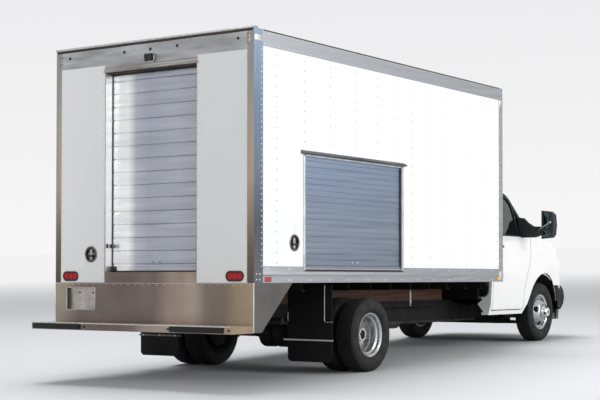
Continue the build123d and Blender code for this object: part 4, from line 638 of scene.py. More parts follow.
def box_panels():
    """Rails, posts, header with its camera hood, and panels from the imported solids, each in
    its own finish."""
    inner, cheek, fine = BOX_Y - REAR_POST, 0.575, 0.0015
    hood_half, hood_low, hood_high = 0.047, 2.98, 3.06
    from_node("rails_and_posts", "box_rails", extrusion, width=fine, regions=(
        (rail_metal, lambda at, to: at[:, 2] > TOP_RAIL_Z - 0.03),
        (corner_metal, lambda at, to: (at[:, 0] > BOX_FRONT - 0.1) & (at[:, 2] > RAIL_TOP) &
         (at[:, 2] < TOP_RAIL_Z - 0.03))))
    from_node("rear_posts_and_header", "rear_frame", post_metal, width=fine, regions=(
        (header_metal, lambda at, to: (at[:, 2] > DOOR_TOP) & (np.abs(at[:, 1]) < inner)),
        (corner_metal, lambda at, to: (np.abs(to[:, 1]) > 0.9) & (np.abs(at[:, 1]) > SKIN_Y)),
        (jamb_metal, lambda at, to: (np.abs(at[:, 1]) > cheek - 0.025) & (np.abs(at[:, 1]) < cheek) &
         (at[:, 2] < DOOR_TOP) & (at[:, 2] > FLOOR_Z)),
        (apron_metal, lambda at, to: (at[:, 2] < FLOOR_Z + 0.01) & (np.abs(at[:, 1]) < inner)),
        (black_plastic, lambda at, to: (np.abs(at[:, 1]) < hood_half) & (at[:, 2] > hood_low) &
         (at[:, 2] < hood_high) & (at[:, 0] < BOX_REAR - 0.002))),
        cuts=(((0, 0, DOOR_TOP + 0.0005), (0, 0, 1)), ((0, inner, 0), (0, 1, 0)), ((0, -inner, 0), (0, 1, 0)),
              ((0, 0, FLOOR_Z - 0.0005), (0, 0, 1)), ((0, cheek, 0), (0, 1, 0)), ((0, -cheek, 0), (0, 1, 0))))
    from_node("white_rear_panels", "rear_panels", white_panel, width=fine)
    for side, _ in SIDES:
        from_node("side_sheet_" + side, "side_wall_" + side, white_sheet, width=0.001)


def wall_rivets():
    """Rivet columns down both sheets, left out where the side doorway is."""
    z = np.arange(RAIL_TOP + 0.03, TOP_RAIL_Z - 0.02, 0.095)
    everywhere = lattice(SIDE_COLUMNS, 0, z)
    low_x, high_x, _, high_z = SIDE_DOOR
    free = (everywhere[:, 0] < low_x - 0.05) | (everywhere[:, 0] > high_x + 0.05) | \
        (everywhere[:, 2] > high_z + 0.08)
    piece("sheet_rivets", [studs(everywhere + (0, SKIN_Y, 0), (0, 1, 0), *SHEET_RIVET),
                           studs(everywhere[free] - (0, SKIN_Y, 0), (0, -1, 0), *SHEET_RIVET)], shaded_rivet)


def rail_rivets():
    """Rivets along both rails and down the side flange of each corner post."""
    parts = []
    along = np.arange(BOX_REAR + 0.16, BOX_FRONT - 0.1, 0.075)
    pairs = np.ravel(np.add.outer(np.arange(-1.80, 2.85, 0.34), (-0.016, 0.016)))
    clear = (pairs < SIDE_DOOR[0] - 0.02) | (pairs > SIDE_DOOR[1] + 0.02)
    upright = np.arange(RAIL_TOP, TOP_RAIL_Z, 0.05)
    for _, hand in SIDES:
        for x, z, head in ((along, (TOP_RAIL_Z + 0.016, ROOF_Z - 0.022), EDGE_RIVET),
                           (pairs, 0.925, RAIL_RIVET),
                           (pairs[clear] if hand < 0 else pairs, 1.030, RAIL_RIVET),
                           ((BOX_REAR + 0.112, BOX_FRONT - 0.078), upright, (0.006, 0.003)),
                           ((BOX_REAR + 0.04, BOX_REAR + 0.09), (0.93, 0.98), (0.008, 0.003))):
            parts.append(studs(lattice(x, hand * BOX_Y, z), (0, hand, 0), *head))
    piece("rail_rivets", parts, rivet_metal)


def panel_rivets():
    """Rivets down both edges of each rear panel and across the header."""
    up = np.arange(0.93, PANEL_TOP - 0.02, 0.095)
    edges = lattice(PANEL_X, (-1.130, -0.590, 0.590, 1.130), up)
    piece("panel_rivets", [studs(edges, REARWARD, *EDGE_RIVET)], white_rivet)
    across = np.arange(-1.17, 1.18, 0.09)
    header, sill = lattice(BOX_REAR, across, 3.150), lattice(BOX_REAR, across, 0.878)
    piece("header_and_sill_rivets", [studs(header, REARWARD, 0.004, 0.002),
                                     studs(sill, REARWARD, *EDGE_RIVET)], rivet_metal)


def roof_cap():
    """The bright half-round cap over the header, with a dark bead of sealant under it that
    wanders 1.5 mm up and down by a sine of its place across."""
    ends = BOX_Y + 0.002
    cap = (BOX_REAR - 0.0035, 3.1885)
    piece("roof_cap_bar", [pipe([(cap[0], -ends, cap[1]), (cap[0], ends, cap[1])], 0.0100, 16)], bright_bar)
    bead = rounded_box(0.005, 0.0105, 0.002, 12) + (BOX_REAR - 0.001, 3.1680)
    rings = [laid("y", y, *bead.T) + (0, 0, 0.0015 * np.sin(9 * y)) for y in np.linspace(-1.20, 1.20, 40)]
    piece("roof_seal_bead", [loft(rings)], butyl)
    edge = [strip((0.0022, 0.006), 0.002, (hand * (BOX_Y - 0.001), ROOF_Z - 0.006), "x",
                  BOX_REAR + 0.14, BOX_FRONT - 0.09) for _, hand in SIDES]
    piece("rail_edge_seal", edge, butyl)


def corner_castings():
    """Rounded cast blocks where the posts meet the rails, and the header's end plates."""
    front_x, rear_x = BOX_FRONT - 0.047, BOX_REAR + 0.066
    blocks = ((front_x, 3.003, 0.046, 0.038), (front_x, 0.972, 0.046, 0.055), (rear_x, 3.100, 0.060, 0.028))
    parts = [facing(rounded_box(half_x, half_z, 0.012), (x, hand * BOX_Y, z), "y", hand,
                    ((-0.002, 1.0), (0.0025, 1.0), (0.0045, 0.94)))
             for _, hand in SIDES for x, z, half_x, half_z in blocks]
    piece("corner_castings", parts, bright_bar)
    parts = [facing(rounded_box(0.020, 0.055, 0.006), (BOX_REAR, hand * 1.155, 3.090), "x", -1,
                    ((-0.002, 1.0), (0.002, 1.0), (0.0035, 0.92))) for _, hand in SIDES]
    piece("header_end_plates", parts, lip_metal)


def header_fittings():
    """The lamp grommets, the rear camera in its white bracket and the worn lower lip."""
    ring = ((0, 0.0), (0.0015, 0.014), (0.005, 0.0135), (0.006, 0.009), (0.0045, 0.008), (0.0045, 0.0))
    dome = ((0.002, 0.0075), (0.006, 0.006), (0.0075, 0.0))
    for name, profile, around, finish in (("header_lamp_grommets", ring, 20, black_plastic),
                                          ("header_lamp_lenses", dome, 16, smoked_lens)):
        piece(name, [turned_form(profile, (BOX_REAR, y, LAMP_Z), around, "x", -1.0) for y in LAMP_Y], finish)
    plate = facing(rounded_box(0.045, 0.037, 0.020), BACK_CAMERA, "x", -1,
                   ((-0.001, 1.0), (0.003, 1.0), (0.005, 0.93)))
    piece("camera_bracket", [plate], white_enamel)
    nose = BOX_REAR - 0.034
    eye = ((-0.004, 0.027), (0.006, 0.027), (0.012, 0.021), (0.010, 0.012), (0.008, 0.0))
    domes = [turned_form(eye, (nose, y, z), 24, "x", -1.0) for y, z in ((0.021, 3.030), (-0.022, 3.010))]
    domes.append(facing(rounded_box(0.014, 0.010, 0.004), (nose, -0.030, 3.044), "x", -1,
                        ((-0.002, 1.0), (0.006, 1.0), (0.009, 0.8))))
    piece("camera_eyes", domes, black_plastic)
    piece("doorway_lip", [
        strip((0.006, 0.013), 0.004, (BOX_REAR - 0.002, DOOR_TOP + 0.014), "y", -0.582, 0.582, 16),
        strip((0.003, 0.004), 0.002, (BOX_REAR - 0.003, DOOR_TOP + 0.050), "y", -0.582, 0.582)], lip_metal)
    # A dark brown strip under the doorway's head: painted shadow, a dark sheet where the head shades the
    # curtain's top.
    piece("doorway_head_shadow_strip", [
        strip((0.040, 0.004), 0.003, (BOX_REAR + 0.048, DOOR_TOP - 0.006), "y", -0.558, 0.558)], butyl)


def slats(axis, front, back, along, up, foot, pitch, bow, joint, wave):
    """A roll-formed curtain facing along an axis, with a flat back. Each slat bows out by
    one less the fourth power of its distance from its middle. Each joint is a bell-shaped
    groove of (depth, half width). A sine wave of (height, radians to the metre, radians
    from slat to slat) runs along each slat."""
    share = ((up - foot) / pitch) % 1
    near = np.minimum(share, 1 - share) * pitch / joint[1]
    profile = bow * (1 - (2 * share - 1) ** 4) - joint[0] * np.exp(-near ** 2)
    row = np.floor((up - foot) / pitch)[:, None]
    face = front - profile[:, None] - wave[0] * np.sin(wave[1] * along + wave[2] * row)
    skin, flat = laid(axis, face, along, up[:, None]), laid(axis, back, along, up[:, None])
    return np.concatenate([skin, flat[::-1]]), weave(2 * len(up), len(along), close_rows=True)


def rear_curtain():
    """The rear curtain: slats 126 mm high with deep, narrow joints, its bottom bar, its
    seals and guides, and the latch hook and bolts on them."""
    pitch, half = 0.1262, 0.558
    skin = slats("x", CURTAIN_X + 0.003, CURTAIN_X + 0.020, np.linspace(-0.5595, 0.5595, 60),
                 np.arange(FLOOR_Z + 0.05, DOOR_TOP + 0.001, pitch / 24), 1.202, pitch, 0.0012,
                 (0.0045, 0.0028), (0.0005, 5.1, 1.7))
    curtain = piece("rear_curtain", [skin], slat_metal)
    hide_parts("rear_roller_door")
    foot = strip((0.013, 0.0225), 0.006, (CURTAIN_X + 0.002, FLOOR_Z + 0.0265), "y", -half, half, 24)
    piece("curtain_bottom_bar", [foot], slat_metal)
    piece("curtain_seals_and_hooks", [
        strip((0.010, 0.006), 0.004, (CURTAIN_X - 0.004, FLOOR_Z + 0.0065), "y", -half, half, 16),
        strip((0.006, 0.008), 0.004, (CURTAIN_X - 0.010, DOOR_TOP - 0.014), "y", -0.555, 0.555, 16),
        soft_box((CURTAIN_X - 0.016, 0.530, 1.030), (0.010, 0.030, 0.026), 0.3),
        soft_box((-1.985, 0.5535, 1.250), (0.007, 0.0065, 0.020), 0.4),
        soft_box((-1.935, 0.5535, 1.250), (0.007, 0.0065, 0.020), 0.4)], black_plastic)
    guides = [strip((0.004, 0.0025), 0.002, (CURTAIN_X - 0.004, hand * half), "z",
                    FLOOR_Z + 0.002, DOOR_TOP - 0.002) for hand in (-1, 1)]
    piece("curtain_guide_strips", guides, grey_plastic)
    bolts = lattice(CURTAIN_X - 0.010, (-0.029, 0.056), BAR_BOLT_Z)
    piece("curtain_bar_bolts", [studs(bolts, REARWARD, 0.009, 0.006, 12)], bright_bar)


def side_doorway():
    """The side curtain, ribbed every 55 mm, with its frame, drip rail and seals."""
    low_x, high_x, low_z, high_z = SIDE_DOOR
    member, head, out = 0.030, 0.022, SKIN_Y + 0.010
    middle, half = (out + WALL_IN) / 2, (out - WALL_IN) / 2
    frame = [strip((member / 2, half), 0.003, (x, -middle), "z", low_z, high_z, 16)
             for x in (low_x + member / 2, high_x - member / 2)]
    frame.append(strip((half, head / 2), 0.003, (-middle, high_z - head / 2), "x", low_x + 0.002,
                       high_x - 0.002, 16))
    members = piece("side_doorway_frame", frame, bright_frame)
    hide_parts("side_door_frame")
    lip = -SKIN_Y - 0.034
    drip = ((-SKIN_Y, high_z), (-SKIN_Y, high_z + 0.034), (lip, high_z + 0.012), (lip, high_z))
    piece("drip_rail", [bar(drip, "x", low_x - 0.038, high_x + 0.038)], drip_metal, edge=0.002)
    start, end = low_x + member + 0.002, high_x - member - 0.002
    pitch, foot = 0.055, low_z + 0.054
    skin = slats("y", SIDE_CURTAIN_Y + 0.002, SIDE_CURTAIN_Y + 0.011, np.linspace(start, end, 90),
                 np.arange(foot, high_z - head + 0.004, pitch / 16), foot, pitch, 0.0010,
                 (0.0016, 0.0022), (0.0006, 4.3, 2.1))
    curtain = piece("side_curtain", [skin], curtain_metal)
    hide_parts("side_roller_door")
    rest = strip((0.008, 0.0215), 0.004, (SIDE_CURTAIN_Y - 0.001, low_z + 0.0325), "x", start, end, 24)
    piece("side_bottom_bar", [rest], curtain_metal)
    edge = strip((0.003, 0.0045), 0.002, (SIDE_CURTAIN_Y - 0.009, low_z + 0.0235), "x", start, end)
    piece("side_bar_edge", [edge], bright_bar)
    gaps = [strip((0.008, 0.0065), 0.003, (SIDE_CURTAIN_Y - 0.006, low_z + 0.0125), "x", start, end, 16),
            strip((half, 0.0055), 0.002, (-middle, low_z + 0.0055), "x", low_x + 0.002, high_x - 0.002, 16)]
    for x, width in ((start + 0.003, 0.003), (end - 0.008, 0.004)):
        gaps.append(strip((width, 0.004), 0.002, (x, SIDE_CURTAIN_Y - 0.006), "z",
                          low_z + 0.02, high_z - head))
    piece("side_curtain_seals", gaps, black_plastic)
    rivets = lattice((low_x + 0.012, high_x - 0.012), -out, np.arange(low_z + 0.06, high_z - 0.02, 0.12))
    bolts = lattice((-0.363, -0.265), SIDE_CURTAIN_Y - 0.002, BAR_BOLT_Z)
    piece("side_frame_rivets", [studs(rivets, (0, -1, 0), *EDGE_RIVET),
                                studs(bolts, (0, -1, 0), 0.009, 0.007, 12)], rivet_metal)


def latches():
    """Each latch: its dish from the solid, a rolled rim, a paddle and a lock barrel."""
    from_node("latch_bowls", "latch_dishes", dish_steel, width=0.0015)
    rims, paddles, dark = [], [], []
    rolled = ((0.002, 0.079), (0.006, 0.078), (0.008, 0.074), (0.006, 0.070), (0.0, 0.068))
    barrel = ((-0.018, 0.017), (0.003, 0.017), (0.005, 0.014), (0.005, 0.0))
    for centre, axis, out in ((REAR_LATCH, "x", REARWARD), (SIDE_LATCH, "y", (0, -1, 0))):
        centre, out = np.array(centre), np.array(out)
        lock = centre + (0, 0, -0.040)
        rims.append(turned_form(rolled, centre, 48, axis, -1.0))
        paddles.append(facing(rounded_box(0.016, 0.040, 0.008), centre + (0, 0, 0.010), axis, -1,
                              ((-0.016, 1.0), (-0.002, 1.0), (0.003, 0.85))))
        paddles.append(turned_form(barrel, lock, 24, axis, -1.0))
        dark.append(facing(rounded_box(0.0022, 0.009, 0.002, 12), lock + out * 0.004, axis, -1,
                           ((0, 1.0), (0.002, 1.0))))
        dark.append(facing(stadium(0.034, 0.009, 24), centre + (0, 0, -0.014) + out * 0.002, axis, -1,
                           ((0, 1.0), (0.008, 0.9))))
    piece("latch_rims", rims, dish_steel)
    piece("latch_paddles", paddles, recess_metal, edge=0.001)
    piece("latch_keyways", dark, black_plastic)


def lamps():
    """Tail lamps in rubber grommets and the side markers. A lens is a stadium drawn in to
    its middle along a quarter circle; it rises 3 mm and then by a parabola across and the
    size of a cosine along, which makes three domes."""
    rings, lenses = [], []
    outer, inner, half = stadium(0.1015, 0.048), stadium(0.086, 0.032), 0.086
    for hand in (-1, 1):
        centre = (PANEL_X, hand * TAIL_Y, TAIL_Z)
        levels = ((outer, 0.0), (outer, 0.007), (outer * 0.97, 0.011), (inner * 1.04, 0.0115), (inner, 0.005))
        rings.append(loft([laid("x", -depth, *flat.T) + centre for flat, depth in levels]))
        share = np.linspace(0, 1, 14)[:, None]
        flat = inner[None] * np.sqrt(1 - (1 - share[::-1]) ** 2)[:, :, None]
        domes = np.abs(np.cos(np.pi * 1.5 * flat[..., 0] / half))
        rise = 0.003 + 0.0065 * (1 - (flat[..., 1] / 0.034) ** 2) * (0.35 + 0.65 * domes)
        grid = laid("x", -rise, flat[..., 0], flat[..., 1]) + centre
        lenses.append((grid, weave(14, grid.shape[1], close_columns=True)))
    grommets = piece("tail_lamp_grommets", rings, black_plastic)
    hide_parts("tail_lamps")
    piece("tail_lamp_lenses", lenses, red_lens)
    ribs = [soft_box((PANEL_X - 0.0045, hand * TAIL_Y + step, TAIL_Z), (0.0055, 0.0022, 0.028), 0.3)
            for hand in (-1, 1) for step in (-0.029, 0.029)]
    piece("tail_lamp_ribs", ribs, smoked_lens)
    for name, finish, (half_x, half_z), (x, z), draw in (
            ("side_marker_lenses", red_glow, (0.048, 0.023), SIDE_MARKER, 0.86),
            ("front_marker_lenses", amber_lens, (0.028, 0.020), FRONT_MARKER, 0.8)):
        lens = rounded_box(half_x, half_z, 0.006)
        markers = piece(name, [facing(lens, (x, hand * BOX_Y, z), "y", hand, (
            (-0.001, 1.0), (0.004, 1.0), (0.0075, draw))) for hand in (-1, 1)], finish)
        if finish is red_glow:
            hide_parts("marker_lamps")


# ---- apron, step, flaps and chassis ------------------------------------------------
# Where the sill clips stand along the frame, and how far out its bolts and pipes are. The
# flaps' x, and the heights of the rod across them and of the bent rod's arm.
CLIP_PLACES = (-1.60, -0.90, 2.10)
FRAME_BOLT_Y = 0.432
CLIP_Y = 0.4365
PIPE_Y = -0.437
FLAP_X = -0.7492
ROD_Z = 0.342
ARM_Z = 0.519


def apron_and_step():
    """Polished apron with its plate recess, its beads and the plate's bolts."""
    low_y, high_y, low_z, high_z = PLATE
    from_node("apron_sheet", "rear_apron", apron_metal, width=0.0015, regions=(
        (recess_metal, lambda at, to: (at[:, 0] > BOX_REAR + 0.001) & (at[:, 1] > low_y - 0.02) &
         (at[:, 0] < BOX_REAR + 0.05) & (at[:, 1] < high_y + 0.02) & (at[:, 2] > 0.6)),
        (skirt_metal, lambda at, to: np.abs(to[:, 1]) > 0.9)))
    from_node("step_sheet", "step_bumper", apron_metal, width=0.0015)
    beads = [pipe([(BOX_REAR, hand * (BOX_Y - 0.003), z) for z in (0.46, 0.90)], 0.006) for hand in (-1, 1)]
    beads.append(pipe([(BOX_REAR - 0.001, y, 0.893) for y in (-1.21, 1.21)], 0.003))
    rim = rounded_box((high_y - low_y) / 2 + 0.004, (high_z - low_z) / 2 + 0.004, 0.008)
    route = np.vstack([rim, rim[:1]]) + ((low_y + high_y) / 2, (low_z + high_z) / 2)
    beads.append(pipe(laid("x", BOX_REAR - 0.001, *route.T), 0.0035, 8))
    piece("apron_beads", beads, bright_bar)
    bolts = lattice(BOX_REAR + 0.031, (0.7445, 0.9225), high_z - 0.045)
    piece("plate_bolts", [hex_nuts(bolts, REARWARD, 0.009, 0.006)], black_plastic)


def step_tread():
    """The step's gripping edge, a flat bar with a row of teeth, rows of dimples across the
    tread, and its rubber pads."""
    pitch, tooth = 0.016, 0.0070
    y = np.arange(-1.205, 1.206, pitch)
    count = len(y)
    top = STEP_TOP - 0.0005 + tooth * (np.arange(count) % 2)
    loop = np.concatenate([(y, top), (y[::-1], np.full(count, STEP_TOP - 0.006))], 1)
    rings = [laid("x", x, *loop) for x in (STEP_REAR - 0.002, STEP_REAR + 0.006)]
    step = np.arange(count - 1)
    caps = np.stack([step, step + 1, 2 * count - 2 - step, 2 * count - 1 - step], 1)
    faces = np.vstack([weave(2, 2 * count, close_columns=True), caps, caps + 2 * count])
    piece("step_grip_edge", [(np.concatenate(rings), faces)], bright_bar)
    dimples = lattice(np.arange(STEP_REAR + 0.04, BOX_REAR - 0.02, 0.045),
                      np.arange(-1.18, 1.19, 0.045), STEP_TOP)
    piece("step_dimples", [studs(dimples, (0, 0, 1), 0.009, 0.0025)], apron_metal)
    from_node("step_pads", "bumper_pads", pad_rubber, width=0.004)
    bolts = lattice(STEP_REAR, (-1.182, -0.496, 0.532, 1.1995), STEP_TOP - 0.033)
    piece("pad_bolts", [hex_nuts(bolts, REARWARD, 0.011, 0.010)], black_plastic)


def flaps():
    """Rubber flaps with their rods: one across, one upright with a bent arm. The right ones are bright; the
    left ones are dark stained steel, as painted shade.
    """
    from_node("rubber_flaps", "mud_flaps", flap_rubber, width=0.002)
    bolts = []
    for side, hand in SIDES:
        corners = [(FLAP_X, hand * y, z) for y, z in ((1.132, 0.872), (1.132, ARM_Z), (BOX_Y, ARM_Z))]
        rods = [strip((0.0035, 0.0095), 0.003, (FLAP_X, ROD_Z), "y", hand * 0.650, hand * 1.228),
                pipe(bend(corners, 0.02), 0.0045),
                pipe([(FLAP_X, hand * 0.701, z) for z in (0.520, 0.611)], 0.003)]
        places = lattice(FLAP_X - 0.003, hand * np.array((0.74, 0.95, 1.17)), ROD_Z)
        bolts.append(studs(places, REARWARD, 0.008, 0.004, 12))
        # The left rods wear the dark stained steel as painted shade, the right ones bright zinc.
        held = piece("flap_rods_" + side, rods, bright_bar if side == "right" else pipe_steel)
        if side == "right":
            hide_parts("flap_hangers")
    piece("flap_bolts", bolts, bright_bar)


def chassis():
    """Frame, sills and running gear from the solids, with bolts, clips and brake pipes."""
    for name, node, finish in (
            ("frame_rails", "chassis_frame", steel_paint), ("oak_sills", "wood_sills", timber),
            ("floor_and_joists", "box_floor", steel_paint), ("tank", "fuel_tank", steel_paint),
            ("engine_block", "engine", iron), ("exhaust_run", "exhaust", pipe_steel),
            ("axle_casing", "rear_axle", iron), ("rear_springs", "leaf_springs", iron),
            ("front_arms", "front_suspension", iron)):
        from_node(name, node, finish, width=0.002)
    clips, nuts = [], []
    for _, hand in SIDES:
        out = (0, hand, 0)
        clips += [strip((0.020, 0.004), 0.0015, (x, hand * CLIP_Y), "z", 0.622, 0.834) for x in CLIP_PLACES]
        for x, y, z, nut in ((CLIP_PLACES, CLIP_Y + 0.004, (0.64, 0.80), (0.013, 0.010)),
                             (np.arange(-1.8, 2.9, 0.15), FRAME_BOLT_Y, 0.655, (0.010, 0.008))):
            nuts.append(hex_nuts(lattice(x, hand * y, z), out, *nut))
    piece("sill_clips", clips, bright_bar)
    piece("frame_bolts", nuts, steel_paint)
    lines = []
    for drop, radius in ((0.0, 0.005), (0.015, 0.004)):
        corners = [(x, PIPE_Y, z - drop) for x, z in ((2.6, 0.60), (1.2, 0.60), (0.75, 0.63), (-0.2, 0.63))]
        lines.append(pipe(bend(corners, 0.1), radius))
    piece("frame_pipes", lines, steel_paint)


# ---- wheels ------------------------------------------------------------------------
# The tread: half its width, its grooves' middles, half width and depth, and how many
# blocks go round. Nuts stand on each hub at eight places, the first at 15 degrees.
TREAD_HALF = 0.084
GROOVES = (-0.052, -0.018, 0.018, 0.052)
GROOVE_HALF = 0.0056
GROOVE_DEEP = 0.009
TREAD_BLOCKS = 66
HUB_TURNS = np.radians(15 + np.arange(8) * 45)
# Turned profiles, as (distance out from the hub's face, radius).
FRONT_CAP = ((0.001, 0.086), (0.014, 0.085), (0.026, 0.079), (0.048, 0.066), (0.064, 0.052), (0.0675, 0.044),
             (0.0685, 0.0))
FRONT_BOSS = ((0.066, 0.016), (0.0695, 0.014), (0.0695, 0.0))
REAR_RIM = ((-0.002, 0.069), (0.004, 0.066), (0.006, 0.058), (0.003, 0.05), (0.003, 0.0))
REAR_COVER = ((0.0032, 0.046), (0.006, 0.040), (0.006, 0.0))
# A tyre's wall from the tread's edge to the bead, as (distance across, radius).
TYRE_WALL = ((0.0845, 0.3640), (0.0920, 0.3580), (0.0995, 0.3490), (0.1040, 0.3390), (0.1075, 0.3290),
             (0.1095, 0.3120), (0.1112, 0.2980), (0.1115, 0.2880), (0.1105, 0.2700), (0.1068, 0.2560),
             (0.1060, 0.2545), (0.1000, 0.2420), (0.0935, 0.2330), (0.0900, 0.2290), (0.0860, 0.2250),
             (0.0780, 0.2240), (0.0760, 0.2065), (0.0700, 0.2050))


def tyre_form(centre):
    """A tyre: radius by angle and distance across. The tread band dips at four zigzag
    grooves and at slanted sipes, and the shoulders at one notch for each block."""
    around = TREAD_BLOCKS * 6
    across = np.linspace(-TREAD_HALF, TREAD_HALF, 57)
    angle = np.linspace(0, 2 * np.pi, around, endpoint=False)
    crown = 0.0065 * (across / TREAD_HALF) ** 4
    turn = angle[:, None] * TREAD_BLOCKS / (2 * np.pi)
    zigzag = 0.0022 * (2 * np.abs((turn % 1) * 2 - 1) - 1)
    dip = np.zeros((around, len(across)))
    for groove in GROOVES:
        near = np.abs(across[None, :] - groove - zigzag) < GROOVE_HALF
        dip = np.maximum(dip, near * GROOVE_DEEP)
    slant = (turn + across[None, :] / 0.03) % 1
    edge = np.abs(across)[None, :] > 0.060
    dip = np.maximum(dip, ((slant < 0.34) & edge) * 0.008)
    dip = np.maximum(dip, ((slant < 0.22) & ~edge) * 0.006)
    tread = TYRE_R - crown[None, :] - dip
    notch = ((turn % 1) < 0.3)[:, :1]
    right = np.repeat(np.array(TYRE_WALL)[None], around, 0)
    right[:, 1:4, 1] -= notch * 0.004
    left = right[:, ::-1] * (-1, 1)
    y = np.concatenate([left[..., 0], np.broadcast_to(across, tread.shape), right[..., 0]], 1)
    r = np.concatenate([left[..., 1], tread, right[..., 1]], 1)
    grid = laid("y", y, r * np.sin(angle)[:, None], r * np.cos(angle)[:, None]) + centre
    return grid, weave(around, y.shape[1], close_rows=True, close_columns=True)


def tyres():
    """A tyre on each front wheel and a pair on each rear one."""
    for side, hand in SIDES:
        front = tyre_form(FRONT_AXLE + (0, hand * FRONT_Y, 0))
        tread = piece("front_tyre_" + side, [front], tyre_rubber, "front_wheel_" + side)
        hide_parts("tyre_front_" + side)
        pair = [tyre_form(REAR_AXLE + (0, hand * (REAR_Y + k * DUAL_HALF), 0)) for k in (-1, 1)]
        tread = piece("rear_tyres_" + side, pair, tyre_rubber, "rear_wheels_" + side)
        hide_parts("tyres_rear_" + side)


def hub_circle(axle, radius, y):
    """The eight places round an axle at that radius and that distance from the middle."""
    return axle + laid("y", y, radius * np.cos(HUB_TURNS), radius * np.sin(HUB_TURNS))


def wheel_fittings():
    """Rims from the solids with nuts on their studs, hub caps and tyre valves."""
    for side, hand in SIDES:
        out = (0, hand, 0)
        body = "front_wheel_" + side
        from_node("front_rim_" + side, "rim_front_" + side, wheel_paint, body, 0.0012, regions=(
            (wheel_dish, lambda at, to: np.abs(at[:, 1]) < FRONT_Y + 0.02),))
        face = FRONT_Y + 0.130
        cap = turned_form(np.add(FRONT_CAP, (face, 0)), FRONT_AXLE, 64, "y", hand)
        piece("front_hub_cap_" + side, [cap], chrome, body)
        covers = [soft_box(spot, (0.018, 0.014, 0.018), 0.7, 8, 16)
                  for spot in hub_circle(FRONT_AXLE, 0.062, hand * (face + 0.046))[::2]]
        covers.append(turned_form(np.add(FRONT_BOSS, (face, 0)), FRONT_AXLE, 24, "y", hand))
        piece("front_nut_covers_" + side, covers, steel_paint, body)
        valve = FRONT_AXLE + (0.0, hand * (FRONT_Y + 0.070), -0.180)
        piece("front_nuts_" + side, [hex_nuts(hub_circle(FRONT_AXLE, 0.0955, hand * face), out, 0.012, 0.018),
                                     pipe([valve, valve + (0, hand * 0.035, 0.006)], 0.004)], chrome, body)
        body = "rear_wheels_" + side
        from_node("rear_rims_" + side, "rims_rear_" + side, wheel_paint, body, 0.0012, regions=(
            (wheel_dish, lambda at, to: (np.abs(at[:, 1]) < 1.02) & (np.linalg.norm(
                at[:, [0, 2]] - REAR_AXLE[[0, 2]], axis=1) > 0.10)),
            (iron, lambda at, to: (np.abs(at[:, 1]) < 0.9))))
        hub = REAR_Y + 0.120
        piece("rear_nuts_" + side, [
            hex_nuts(hub_circle(REAR_AXLE, 0.098, hand * (REAR_Y + 0.009)), out, 0.014, 0.030),
            hex_nuts(hub_circle(REAR_AXLE, 0.055, hand * (hub + 0.002)), out, 0.0085, 0.009)], chrome, body)
        for name, profile, around, finish in (("rear_hub_rim_", REAR_RIM, 48, chrome),
                                              ("rear_hub_cover_", REAR_COVER, 32, steel_paint)):
            form = turned_form(np.add(profile, (hub, 0)), REAR_AXLE, around, "y", hand)
            piece(name + side, [form], finish, body)


# ---- cab ---------------------------------------------------------------------------
# The belt line, the cab's side as (distance from the middle, height), and the door glass
# and the door's open edge as (x, z).
BELT_Z = 1.458
CAB_SIDE = np.array(((0.950, 0.500), (0.988, 0.620), (1.003, 0.900), (1.003, 1.290), (0.990, BELT_Z),
                     (0.856, 2.000), (0.805, 2.070), (0.715, 2.110)))
WINDOW = ((3.172, 1.914), (3.180, 1.942), (3.202, 1.950), (3.636, 1.950), (3.722, 1.922), (3.782, 1.862),
          (4.100, 1.472), (3.172, 1.472))
DOOR_EDGE = ((3.112, 1.440), (3.112, 0.562), (3.948, 0.562), (3.948, 0.800), (4.023, 0.960), (4.084, 1.050),
             (4.114, 1.150))
# The door handle's (x, z), the mirror glasses' x and y, and the seats' y.
HANDLE = (3.235, 1.325)
MIRROR_X, MIRROR_Y = 3.850, 1.352
SEAT_Y = 0.430
# The wheel opening's front edge as (x, z), and the bumper: its end in plan as (x, y) and
# how far its face draws in at each height.
ARCH_FRONT = np.array(((4.940, 0.487), (4.925, 0.600), (4.875, 0.760), (4.802, 0.879)))
BUMPER_PLAN = np.array(((4.700, 1.008), (4.900, 1.008), (5.060, 1.004), (5.245, 0.952), (5.325, 0.790)))
BUMPER_DRAW = np.array(((0.534, 0.048), (0.610, 0.013), (0.690, 0.0), (0.788, 0.012), (0.836, 0.038),
                        (0.852, 0.062)))


def cab_side_y(z):
    """How far the cab's side stands from the middle at each height."""
    return np.interp(z, CAB_SIDE[:, 1], CAB_SIDE[:, 0])


def spaced(corners, step=0.02, closed=False):
    """Points every step along straight runs between corners."""
    corners = np.asarray(corners, float)
    if closed:
        corners = np.vstack([corners, corners[:1]])
    run = np.concatenate([[0], np.cumsum(np.linalg.norm(np.diff(corners, axis=0), axis=1))])
    at = np.linspace(0, run[-1], max(2, int(run[-1] / step)))
    return np.stack([np.interp(at, run, corners[:, k]) for k in range(corners.shape[1])], 1)


def side_bar(edge, hand, sunk, radius, around=10):
    """A round bar along (x, z) points on the cab's side, its middle sunk into it."""
    return pipe(laid("y", hand * (cab_side_y(edge[:, 1]) - sunk), *edge.T), radius, around)


def in_arch(at, to):
    """Faces of the wheel openings, which look towards the axle, and of the houses."""
    away = at[:, [0, 2]] - FRONT_AXLE[[0, 2]]
    reach = np.linalg.norm(away, axis=1)
    inward = -(away * to[:, [0, 2]]).sum(1) / np.maximum(reach, 1e-6)
    return (reach < 0.62) & (at[:, 2] < 1.12) & ((inward > 0.3) | (np.abs(at[:, 1]) < 0.90))


